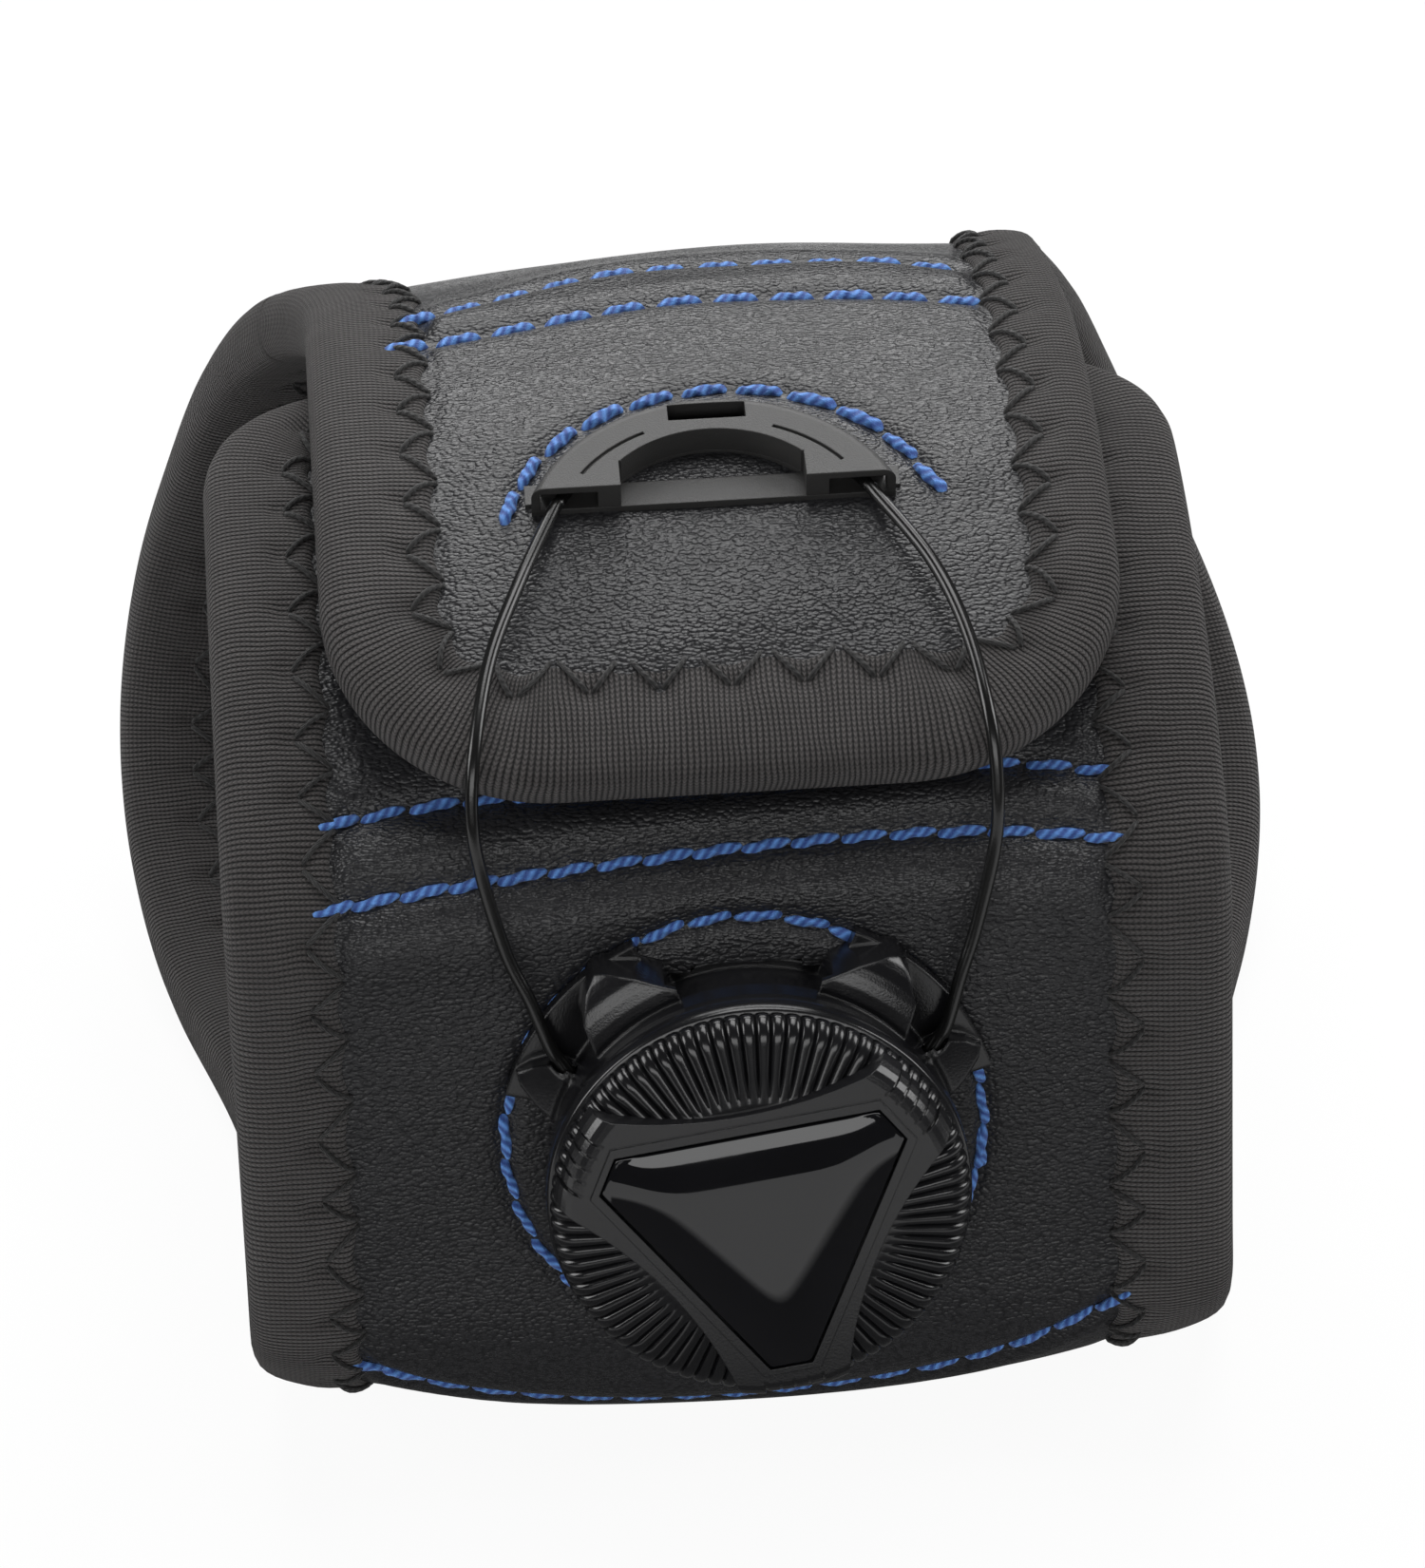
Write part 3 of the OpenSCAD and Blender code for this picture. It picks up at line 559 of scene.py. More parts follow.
class Shader(Builder):
    """Builder for a material with one Principled shader."""

    def __init__(self, name: str) -> None:
        """Makes an empty material of that name."""
        self.material = bpy.data.materials.new(name)
        self.material.use_nodes = True
        super().__init__(self.material.node_tree)
        self.body = self.tree.nodes["Principled BSDF"]

    def ramp(self, value: object, stops: Sequence[Pair]) -> Socket:
        """Grey ramp through (place, brightness) stops."""
        made = self.node("ShaderNodeValToRGB", {0: value})
        cells = made.color_ramp.elements
        while len(cells) < len(stops):
            cells.new(0.5)
        for cell, (place, grey) in zip(cells, stops):
            cell.position, cell.color = place, (grey, grey, grey, 1)
        return made.outputs[0]

    def blend(self, share: object, a: object, b: object, kind: str = "MIX") -> Socket:
        """Mix of two colours."""
        return self.node("ShaderNodeMix", {0: share, 6: a, 7: b}, data_type="RGBA",
                         blend_type=kind).outputs[2]

    def place(self, stretch: Trio = (1, 1, 1)) -> Socket:
        """Object coordinates in millimetres, stretched along the axes."""
        where = self.node("ShaderNodeTexCoord").outputs["Object"]
        scale = tuple(k / MM for k in stretch)
        return self.node("ShaderNodeMapping", {"Vector": where, "Scale": scale}).outputs[0]

    def flat(self) -> tuple[Socket, Socket, Socket]:
        """The piece's own flat coordinates: both together, along and across."""
        where = self.node("ShaderNodeUVMap", uv_map="UVMap").outputs[0]
        parts = self.node("ShaderNodeSeparateXYZ", {"Vector": where})
        return where, parts.outputs[0], parts.outputs[1]

    def noise(self, where: object, scale: float, detail: float = 3.0,
              rough: float = 0.55) -> Socket:
        """Noise between 0 and 1."""
        return self.node("ShaderNodeTexNoise", {"Vector": where, "Scale": scale,
                                                "Detail": detail, "Roughness": rough}).outputs[0]

    def bump(self, height: object, depth: float, strength: float = 1.0,
             after: object = None) -> Socket:
        """Relief of a depth in millimetres."""
        made = self.node("ShaderNodeBump", {"Height": height, "Distance": depth * MM,
                                            "Strength": strength})
        if after is not None:
            self.put(after, made.inputs["Normal"])
        return made.outputs[0]

    def finish(self, colour: object, rough: object, normal: object = None,
               **more: object) -> Material:
        """Sets the shader's main sockets and hands back the material.

        Args:
            colour: base colour, as three numbers or an output.
            rough: roughness.
            normal: output of a bump.
            **more: other sockets, with underscores for blanks.

        Returns:
            The material.
        """
        if normal is not None:
            more["Normal"] = normal
        for key, value in {"Base_Color": colour, "Roughness": rough, **more}.items():
            self.put(value, self.body.inputs[key.replace("_", " ")])
        return self.material


@dataclass(frozen=True)
class Leatherette:
    """Black synthetic leather with a fine drawn-out pebble."""

    colour: Trio = (0.014, 0.014, 0.0155)
    # lighter colour on the raised pebbles: partly grain tone, partly a painted highlight on the
    # pebble tops
    crest: Trio = (0.024, 0.024, 0.026)
    cell: float = 0.26
    depth: float = 0.105
    rough: float = 0.29
    stretch: Trio = (0.60, 1.0, 1.0)    # draws the grain out across the strap
    wander: float = 0.3                 # how far the cells are shifted
    pebble: float = 0.8                 # share of the pebbles in the height
    pores: float = 0.5                  # share of the fine pores

    def build(self) -> Material:
        """Makes the material."""
        s = Shader("leatherette")
        where = s.place(self.stretch)
        drift = s.node("ShaderNodeTexNoise", {"Vector": where, "Scale": 0.9, "Detail": 2.0})
        warp = s.node("ShaderNodeVectorMath", {0: drift.outputs[1], "Scale": self.wander},
                      operation="SCALE")
        bent = s.node("ShaderNodeVectorMath", {0: where, 1: warp.outputs[0]}, operation="ADD")
        cells = s.node("ShaderNodeTexVoronoi",
                       {"Vector": bent.outputs[0], "Scale": 1 / self.cell, "Smoothness": 0.35},
                       feature="SMOOTH_F1").outputs[0]
        pebble = s.ramp(cells, [(0.0, 1.0), (0.42, 0.75), (0.8, 0.0)])
        pores = s.noise(where, 1.6, 2.0)
        height = s.add(s.mul(pebble, self.pebble), s.mul(pores, self.pores))
        creases = s.noise(s.place((0.20, 0.5, 0.5)), 1.0, 3.0)
        normal = s.bump(creases, 0.35, 0.12)
        normal = s.bump(height, self.depth, 1.0, normal)
        # pebble tops lighter, the low ground between them darker: partly grain tone, partly painted
        # highlight and painted shade
        share = s.ramp(height, [(0.35, 0.0), (1.0, 1.0)])
        colour = s.blend(share, self.colour, self.crest)
        wear = s.ramp(s.noise(s.place(), 0.11, 3.0), [(0.3, self.rough - 0.04),
                                                      (0.75, self.rough + 0.06)])
        rough = s.add(wear, s.mul(s.math("SUBTRACT", 0.5, pebble), 0.10))
        return s.finish(colour, rough, normal, Specular_IOR_Level=0.36, IOR=1.47)


@dataclass(frozen=True)
class Knit:
    """Ribbed knit; the ribs run across the tape, at an even pitch along it."""

    name: str
    rib: Trio = (0.085, 0.079, 0.078)
    # near-black colour of the gaps between the ribs: painted shade in the gaps
    gap_shade: Trio = (0.005, 0.0045, 0.0045)
    pitch: float = 0.42
    loop: float = 0.38
    depth: float = 0.27
    drift: float = 1.1      # how far the ribs wander along the tape
    fluff: float = 0.22     # share of the fibres in the height
    patchy: float = 0.56    # how much the shade varies

    def build(self) -> Material:
        """Makes the material."""
        s = Shader(self.name)
        where, along, across = s.flat()
        sway = s.noise(where, 0.12, 2.0)
        along = s.add(along, s.mul(sway, self.drift))
        count = s.math("DIVIDE", along, self.pitch)
        inside = s.math("ABSOLUTE", s.math("SUBTRACT", s.math("FRACT", count), 0.5))
        round_rib = s.math("COSINE", s.mul(inside, math.pi))
        rib = s.math("POWER", s.math("MAXIMUM", round_rib, 0.0), 0.7)
        chevron = s.add(s.math("DIVIDE", across, self.loop), s.mul(inside, 1.3))
        stitch = s.math("ABSOLUTE", s.math("SINE", s.mul(chevron, math.pi)))
        height = s.mul(rib, s.add(0.62, s.mul(stitch, 0.38)))
        fluff = s.noise(where, 5.0, 3.0, 0.7)
        height = s.add(height, s.mul(fluff, self.fluff))
        normal = s.bump(height, self.depth, 1.0)
        # rib tops take the rib colour, the gaps go near-black: painted shade in the gaps, varied by
        # random patches
        shade = s.ramp(height, [(0.40, 0.0), (0.74, 0.6), (1.15, 1.0)])
        patch = s.noise(where, 0.35, 3.0)
        shade = s.mul(shade, s.add(0.72, s.mul(patch, self.patchy)))
        colour = s.blend(shade, self.gap_shade, self.rib)
        return s.finish(colour, 0.88, normal, Specular_IOR_Level=0.22, Sheen_Weight=0.10,
                        Sheen_Roughness=0.5)


@dataclass(frozen=True)
class Yarn:
    """Sewing thread of twisted filaments."""

    name: str
    # the two colours below: the lighter one is the thread's colour raised to a painted highlight on
    # the ply tops, the darker one its colour lowered to painted shade in the grooves between the
    # plies
    ply_top_highlight: Trio
    ply_groove_shade: Trio
    gauge: float = 0.9      # length of one turn of the plies

    def build(self) -> Material:
        """Makes the material."""
        s = Shader(self.name)
        where, along, round_it = s.flat()
        turns = s.add(s.math("DIVIDE", along, self.gauge), s.mul(round_it, 2.0))
        ply = s.math("SINE", s.mul(2 * math.pi, turns))
        stretched = s.node("ShaderNodeMapping", {"Vector": where, "Scale": (1.2, 9.0, 1.0)})
        hairs = s.noise(stretched.outputs[0], 2.6, 4.0, 0.7)
        height = s.add(s.mul(ply, 0.32), hairs)
        # ply tops light, grooves between the plies dark: painted highlight and painted shade over
        # the thread's own colour
        shade = s.ramp(height, [(0.2, 0.0), (0.9, 1.0)])
        tone = s.noise(s.place(), 0.35, 2.0)
        shade = s.mul(shade, s.add(0.55, s.mul(tone, 0.8)))
        colour = s.blend(shade, self.ply_groove_shade, self.ply_top_highlight)
        return s.finish(colour, 0.55, s.bump(height, 0.16, 0.9), Specular_IOR_Level=0.5,
                        Sheen_Weight=0.15, Sheen_Roughness=0.4)


@dataclass(frozen=True)
class Plastic:
    """Moulded plastic with a fine tool texture and faint handling marks."""

    name: str
    colour: Trio
    rough: float
    grain: float = 0.012
    cell: float = 0.16
    specular: float = 0.5
    bevel: float = 0.0

    def build(self) -> Material:
        """Makes the material."""
        s = Shader(self.name)
        where = s.place()
        tool = s.noise(where, 1 / self.cell, 2.0)
        sweep = s.noise(where, 0.16, 3.0)
        specks = s.noise(where, 2.3, 4.0, 0.7)
        normal = None
        if self.bevel:
            normal = s.node("ShaderNodeBevel", {"Radius": self.bevel * MM}, samples=6).outputs[0]
        normal = s.bump(tool, self.grain, 1.0, normal)
        tint = s.ramp(sweep, [(0.3, 0.85), (0.7, 1.15)])
        base = s.blend(1.0, self.colour, tint, "MULTIPLY")
        dust = s.ramp(specks, [(0.78, 0.0), (0.86, 1.0)])
        lift = tuple(min(1.0, c * 1.6 + 0.004) for c in self.colour)
        colour = s.blend(dust, base, lift)
        rough = s.add(self.rough - 0.05, s.mul(sweep, 0.10))
        return s.finish(colour, rough, normal, Specular_IOR_Level=self.specular)


@dataclass(frozen=True)
class Steel:
    """Stamped or turned steel with a fine grain."""

    name: str
    colour: Trio = (0.55, 0.56, 0.58)
    rough: float = 0.32

    def build(self) -> Material:
        """Makes the material."""
        s = Shader(self.name)
        where = s.place((0.3, 4.0, 0.3))
        lines = s.noise(where, 3.0, 4.0)
        rough = s.add(self.rough - 0.08, s.mul(lines, 0.16))
        colour = s.blend(lines, tuple(0.8 * c for c in self.colour), self.colour)
        return s.finish(colour, rough, s.bump(lines, 0.01, 0.6), Metallic=1.0)


class Finishes:
    """All materials of the strap, made once."""

    def __init__(self) -> None:
        """Builds every material."""
        self.leather = Leatherette().build()
        self.tape = Knit("knit_tape").build()
        self.lining = Knit("knit_lining", rib=(0.034, 0.031, 0.031), pitch=0.7,
                           loop=0.6, depth=0.10).build()
        # each thread: first the painted-highlight colour of the ply tops, then the painted-shade
        # colour of the grooves
        self.blue = Yarn("blue_thread", (0.13, 0.34, 0.82), (0.022, 0.07, 0.30)).build()
        self.black = Yarn("black_thread", (0.022, 0.021, 0.021), (0.004, 0.004, 0.004),
                          gauge=0.6).build()
        self.housing = Plastic("housing_plastic", (0.006, 0.006, 0.007), 0.19,
                               bevel=0.36).build()
        self.knob = Plastic("knob_plastic", (0.007, 0.007, 0.008), 0.20, grain=0.004).build()
        self.frame = Plastic("frame_plastic", (0.009, 0.009, 0.010), 0.24, bevel=0.11).build()
        self.inlay = Plastic("inlay_plastic", (0.003, 0.003, 0.004), 0.04, grain=0.0004,
                             cell=0.8, specular=0.55).build()
        self.guide = Plastic("guide_plastic", (0.026, 0.0255, 0.025), 0.52, grain=0.03,
                             cell=0.13, bevel=0.14).build()
        self.lace = Plastic("lace_coating", (0.006, 0.006, 0.006), 0.22, grain=0.004).build()
        self.nylon = Plastic("natural_nylon", (0.62, 0.60, 0.54), 0.42).build()
        self.acetal = Plastic("natural_acetal", (0.70, 0.69, 0.65), 0.36).build()
        self.steel = Steel("stamped_steel").build()


# ---------------------------------------------------------------- geometry nodes


class Grower(Builder):
    """A Geometry Nodes tree with named inputs, used once and turned into a plain mesh."""

    def __init__(self, name: str, inputs: Sequence[tuple[str, str]]) -> None:
        """Makes the tree.

        Args:
            name: name of the tree.
            inputs: name and socket type of each input after the geometry.
        """
        super().__init__(bpy.data.node_groups.new(name, "GeometryNodeTree"))
        face = self.tree.interface
        face.new_socket("Geometry", in_out="INPUT", socket_type="NodeSocketGeometry")
        self.ids = {label: face.new_socket(label, in_out="INPUT", socket_type=kind).identifier
                    for label, kind in inputs}
        face.new_socket("Geometry", in_out="OUTPUT", socket_type="NodeSocketGeometry")
        self.source = self.tree.nodes.new("NodeGroupInput")
        self.end = self.tree.nodes.new("NodeGroupOutput")

    def into(self, label: str) -> Socket:
        """One of the tree's own inputs."""
        return self.source.outputs[label]

    def close(self, geometry: Socket, material: Socket) -> None:
        """Ends the tree with real geometry that carries its material."""
        real = self.node("GeometryNodeRealizeInstances", {"Geometry": geometry})
        dressed = self.node("GeometryNodeSetMaterial",
                            {"Geometry": real.outputs[0], "Material": material})
        self.put(dressed.outputs[0], self.end.inputs[0])

    def grow(self, name: str, seed: Object, values: dict) -> Object:
        """Runs the tree on an object and keeps the result as a plain mesh.

        Args:
            name: name of the piece.
            seed: object that the tree starts from; it is removed.
            values: the inputs by name.

        Returns:
            The piece.
        """
        modifier = seed.modifiers.new("grow", "NODES")
        modifier.node_group = self.tree
        for label, value in values.items():
            modifier[self.ids[label]] = value
        seed.update_tag()
        graph = bpy.context.evaluated_depsgraph_get()
        graph.update()
        mesh = bpy.data.meshes.new_from_object(seed.evaluated_get(graph))
        mesh.name = name
        seed.modifiers.remove(modifier)
        bpy.data.objects.remove(seed)
        mesh.shade_smooth()
        return link(bpy.data.objects.new(name, mesh))


def path_object(points: Array, ups: Array | None = None) -> Object:
    """Chain of edges that a tree starts from.

    Args:
        points: places in millimetres.
        ups: outward direction at each place.

    Returns:
        The object.
    """
    p = np.asarray(points, float) * MM
    mesh = bpy.data.meshes.new("path")
    mesh.from_pydata(p.tolist(), [(i, i + 1) for i in range(len(p) - 1)], [])
    if ups is not None:
        layer = mesh.attributes.new("up", "FLOAT_VECTOR", "POINT")
        layer.data.foreach_set("vector", np.asarray(ups, np.float32).ravel())
    return link(bpy.data.objects.new("path", mesh))


class Garland:
    """Sets a small shape along a path at an even pitch."""

    uneven: float = 0.07    # how much the sizes differ

    def __init__(self) -> None:
        """Builds the tree."""
        g = self.grower = Grower("garland", [
            ("Shape", "NodeSocketObject"), ("Pitch", "NodeSocketFloat"),
            ("Unevenness", "NodeSocketFloat"), ("Seed", "NodeSocketInt"),
            ("Material", "NodeSocketMaterial")])
        curve = g.node("GeometryNodeMeshToCurve", {"Mesh": g.source.outputs["Geometry"]})
        beads = g.node("GeometryNodeResampleCurve",
                       {"Curve": curve.outputs[0], "Length": g.into("Pitch")}, mode="LENGTH")
        tangent = g.node("GeometryNodeInputTangent")
        outward = g.node("GeometryNodeInputNamedAttribute", {"Name": "up"},
                         data_type="FLOAT_VECTOR")
        along = g.node("FunctionNodeAlignRotationToVector", {"Vector": tangent.outputs[0]},
                       axis="X")
        turned = g.node("FunctionNodeAlignRotationToVector",
                        {"Rotation": along.outputs[0], "Vector": outward.outputs[0]},
                        axis="Z", pivot_axis="X")
        size = g.node("FunctionNodeRandomValue",
                      {"Seed": g.into("Seed"), 2: g.math("SUBTRACT", 1.0, g.into("Unevenness")),
                       3: g.math("ADD", 1.0, g.into("Unevenness"))}, data_type="FLOAT")
        shape = g.node("GeometryNodeObjectInfo", {"Object": g.into("Shape")})
        beads_set = g.node("GeometryNodeInstanceOnPoints",
                           {"Points": beads.outputs[0], "Instance": shape.outputs["Geometry"],
                            "Rotation": turned.outputs[0], "Scale": size.outputs[1]})
        g.close(beads_set.outputs[0], g.into("Material"))

    def sew(self, name: str, points: Array, ups: Array, shape: Object, pitch: float,
            material: Material, seed: int) -> Object:
        """Places the shape along a path.

        Args:
            name: name of the piece.
            points: path in millimetres.
            ups: outward direction along the path.
            shape: what is repeated.
            pitch: distance in millimetres.
            material: finish.
            seed: picks the unevenness.

        Returns:
            The piece.
        """
        return self.grower.grow(name, path_object(points, ups), {
            "Shape": shape, "Pitch": pitch * MM, "Unevenness": self.uneven, "Seed": seed,
            "Material": material})


class Cordage:
    """Turns a path into a thin round thread with its own lengthwise coordinates."""

    def __init__(self) -> None:
        """Builds the tree."""
        g = self.grower = Grower("cordage", [
            ("Radius", "NodeSocketFloat"), ("Sides", "NodeSocketInt"),
            ("Material", "NodeSocketMaterial")])
        curve = g.node("GeometryNodeMeshToCurve", {"Mesh": g.source.outputs["Geometry"]})
        run = g.node("GeometryNodeSplineParameter")
        long_way = g.node("GeometryNodeCaptureAttribute", {"Geometry": curve.outputs[0]})
        long_way.capture_items.new("FLOAT", "run")
        g.put(run.outputs["Length"], long_way.inputs[1])
        ring = g.node("GeometryNodeCurvePrimitiveCircle",
                      {"Resolution": g.into("Sides"), "Radius": g.into("Radius")})
        round_way = g.node("GeometryNodeCaptureAttribute", {"Geometry": ring.outputs[0]})
        round_way.capture_items.new("FLOAT", "turn")
        g.put(run.outputs["Factor"], round_way.inputs[1])
        swept = g.node("GeometryNodeCurveToMesh",
                       {"Curve": long_way.outputs[0], "Profile Curve": round_way.outputs[0],
                        "Fill Caps": True})
        flat = g.node("ShaderNodeCombineXYZ", {
            0: g.math("MULTIPLY", long_way.outputs[1], 1 / MM), 1: round_way.outputs[1]})
        kept = g.node("GeometryNodeStoreNamedAttribute",
                      {"Geometry": swept.outputs[0], "Name": "UVMap"},
                      data_type="FLOAT2", domain="CORNER")
        g.put(flat.outputs[0], kept.inputs["Value"])
        g.close(kept.outputs[0], g.into("Material"))

    def spin(self, name: str, points: Array, radius: float, sides: int,
             material: Material) -> Object:
        """Makes the thread.

        Args:
            name: name of the piece.
            points: path in millimetres.
            radius: radius of the thread.
            sides: facets round it.
            material: finish.

        Returns:
            The piece.
        """
        return self.grower.grow(name, path_object(points), {
            "Radius": radius * MM, "Sides": sides, "Material": material})


class Rosette:
    """Sets one sector round the Z axis as often as it fits, joined into one skin."""

    join: float = 0.002     # distance within which neighbouring corners become one

    def __init__(self) -> None:
        """Builds the tree."""
        g = self.grower = Grower("rosette", [
            ("Sector", "NodeSocketObject"), ("Count", "NodeSocketInt"),
            ("Join", "NodeSocketFloat"), ("Material", "NodeSocketMaterial")])
        places = g.node("GeometryNodePoints", {"Count": g.into("Count")})
        share = g.math("DIVIDE", g.node("GeometryNodeInputIndex").outputs[0], g.into("Count"))
        turn = g.node("ShaderNodeCombineXYZ", {2: g.math("MULTIPLY", share, 2 * math.pi)})
        shape = g.node("GeometryNodeObjectInfo", {"Object": g.into("Sector")})
        sectors = g.node("GeometryNodeInstanceOnPoints",
                         {"Points": places.outputs[0], "Instance": shape.outputs["Geometry"],
                          "Rotation": turn.outputs[0]})
        real = g.node("GeometryNodeRealizeInstances", {"Geometry": sectors.outputs[0]})
        joined = g.node("GeometryNodeMergeByDistance",
                        {"Geometry": real.outputs[0], "Distance": g.into("Join")})
        g.close(joined.outputs[0], g.into("Material"))

    def turn(self, name: str, sector: Object, count: int, material: Material) -> Object:
        """Makes the whole ring out of one sector, which is removed."""
        made = self.grower.grow(name, path_object(np.zeros((2, 3))), {
            "Sector": sector, "Count": count, "Join": self.join * MM, "Material": material})
        bpy.data.objects.remove(sector)
        return made


# ---------------------------------------------------------------- dial


@dataclass
class Dial:
    """The knob's ribbed cap and the polished inlay on its frame."""

    line: StrapLine
    finishes: Finishes
    ribs: int = 84
    rib_depth: float = 0.42
    rib_cols: int = 8
    rib_step: float = 0.28
    rib_foot: float = 0.7       # length over which a rib's end is rounded
    rib_fade: float = 2.5       # length over which the ribs run out at the brow
    skirt: tuple = ((14.0, 7.5), (15.5, 7.5), (15.64, 7.65), (15.6, 9.82),
                    (15.46, 9.97), (15.14, 10.02))
    edge: Trio = (13.55, 10.1, 2.0)     # middle and radius of the edge's round
    edge_sweep: float = 76.0
    brow: Pair = (9.2, 12.98)
    hollow: tuple = ((0.3, 13.0), (0.3, 10.9), (3.3, 10.9), (3.3, 9.8), (14.0, 9.8))
    turn: float = -82.0
    inlay_r: float = 12.1
    inlay_half: float = 1.5
    inlay_low: float = 12.72
    inlay_top: float = 14.5
    slope: float = 20.0
    slope_w: float = 4.4
    edge_r: float = 0.14
    mean_r: float = 7.35        # the inlay's usual distance from its middle to its edge
    outline_step: float = 0.05
    corner_soft: int = 17       # neighbours that soften the outline's corners
    ridge: float = 1.5          # the larger, the crisper the lines between the slopes

    def to_strap(self) -> Matrix:
        """Moves the dial's frame into the strap's, in metres."""
        lean = math.radians(self.line.dial_lean)
        turn = Matrix.Rotation(math.pi / 2 - lean, 4, "X")
        return Matrix.Translation(Vector((0, *self.line.dial_c)) * MM) @ turn

    def rib_line(self) -> tuple[Array, Array, Array, Array]:
        """Ribbed part of the cap's section: places, outward directions, depth, crest's share."""
        r0, z0, round_r = self.edge
        foot = np.array([r0 + round_r, z0])
        a = np.radians(np.linspace(0, self.edge_sweep, 10))
        bend = np.stack([r0 + round_r * np.cos(a), z0 + round_r * np.sin(a)], -1)
        line = spaced(np.concatenate([[foot], bend, [self.brow]]), self.rib_step)
        d = np.gradient(line, axis=0)
        d /= np.linalg.norm(d, axis=1)[:, None]
        run = run_of(line)
        height = ease((run[-1] - run) / self.rib_fade)
        grown = np.sqrt(1 - (1 - np.clip(run / self.rib_foot, 0, 1)) ** 2)
        return line, np.stack([d[:, 1], -d[:, 0]], -1), height, grown

    def cap(self, rosette: Rosette) -> Object:
        """Makes the knob's cap: a drawn skirt under a cone of rounded ribs."""
        line, outward, height, grown = self.rib_line()
        t = np.linspace(0, 1, self.rib_cols + 1)
        crest = np.clip(1 - np.abs(2 * t - 1) ** 2.6, 0, 1) ** 0.55
        columns = []
        for c, share in zip(crest, t):
            ribbed = line + (self.rib_depth * (c * grown - 1) * height)[:, None] * outward
            section = np.concatenate([self.skirt, ribbed, self.hollow])
            a = 2 * math.pi * share / self.ribs
            columns.append(np.stack([section[:, 0] * math.cos(a), section[:, 0] * math.sin(a),
                                     section[:, 1]], -1))
        rows = np.array(columns)
        faces = [f[::-1] for f in lattice(*rows.shape[:2])]
        sector = make_mesh("rib", rows.reshape(-1, 3), faces)
        made = rosette.turn("knob_ribbed_cap", sector, self.ribs, self.finishes.knob)
        made.data.set_sharp_from_angle(angle=math.radians(60))
        made.data.transform(self.to_strap())
        return made

    def plan(self, n: int) -> Array:
        """Outline of the inlay, a triangle with cut and softened corners."""
        corners = []
        for i in range(3):
            a = math.radians(120 * i + self.turn)
            for k in (-1, 1):
                corners.append([self.inlay_r * math.cos(a) - k * self.inlay_half * math.sin(a),
                                self.inlay_r * math.sin(a) + k * self.inlay_half * math.cos(a)])
        p = spaced(corners + corners[:1], self.outline_step)[:-1]
        lap = self.corner_soft // 2
        p = softened(np.concatenate([p[-lap:], p, p[:lap]]), self.corner_soft)
        return p[np.linspace(0, len(p), n, endpoint=False).astype(int)]

    def depth_in(self, p: Array) -> Array:
        """Distance from the inlay's nearest side, with soft ridges."""
        far = self.inlay_r / 2 + self.inlay_half * math.sin(math.radians(60))
        total = 0.0
        for i in range(3):
            for reach, shift in ((far, 60), (self.inlay_r, 0)):
                a = math.radians(shift + 120 * i + self.turn)
                inside = reach - p[..., 0] * math.cos(a) - p[..., 1] * math.sin(a)
                total = total + np.exp(-self.ridge * inside)
        return -np.log(total) / self.ridge

    def inlay(self) -> Object:
        """Makes the polished inlay, a flat cushion whose sides fall away."""
        outline = self.plan(180)
        steps = np.concatenate([np.linspace(0, 1, 7) ** 2 * 0.05, np.linspace(0.06, 0.99, 52)])
        rings = []
        for inward in steps:
            p = outline * (1 - inward)
            d = np.clip(self.slope_w - np.maximum(self.depth_in(p), 0), 0, None)
            fall = math.tan(math.radians(self.slope)) * d**2 / (2 * self.slope_w)
            near = np.clip(1 - inward * self.mean_r / self.edge_r, 0, 1)
            fall += self.edge_r * (1 - np.sqrt(1 - near**2))
            rings.append(np.concatenate([p, (self.inlay_top - fall)[:, None]], 1))
        low = np.concatenate([outline, np.full((len(outline), 1), self.inlay_low)], 1)
        made = skin("knob_polished_inlay", np.array([low, *rings]), None, False,
                    self.finishes.inlay, 60)
        made.data.transform(self.to_strap())
        return made

    def build(self) -> None:
        """Makes and seats both pieces."""
        for piece, node, slot in ((self.cap(Rosette()), "knob_shell", "knob"),
                                  (self.inlay(), "knob_inlay", "inlay")):
            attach(piece, "knob")
            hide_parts(node)
            log.info("dial: %s", piece.name)


# ---------------------------------------------------------------- soft layers


class Part(Enum):
    """The two straps of the loop."""

    BAND = "band"
    FLAP = "flap"


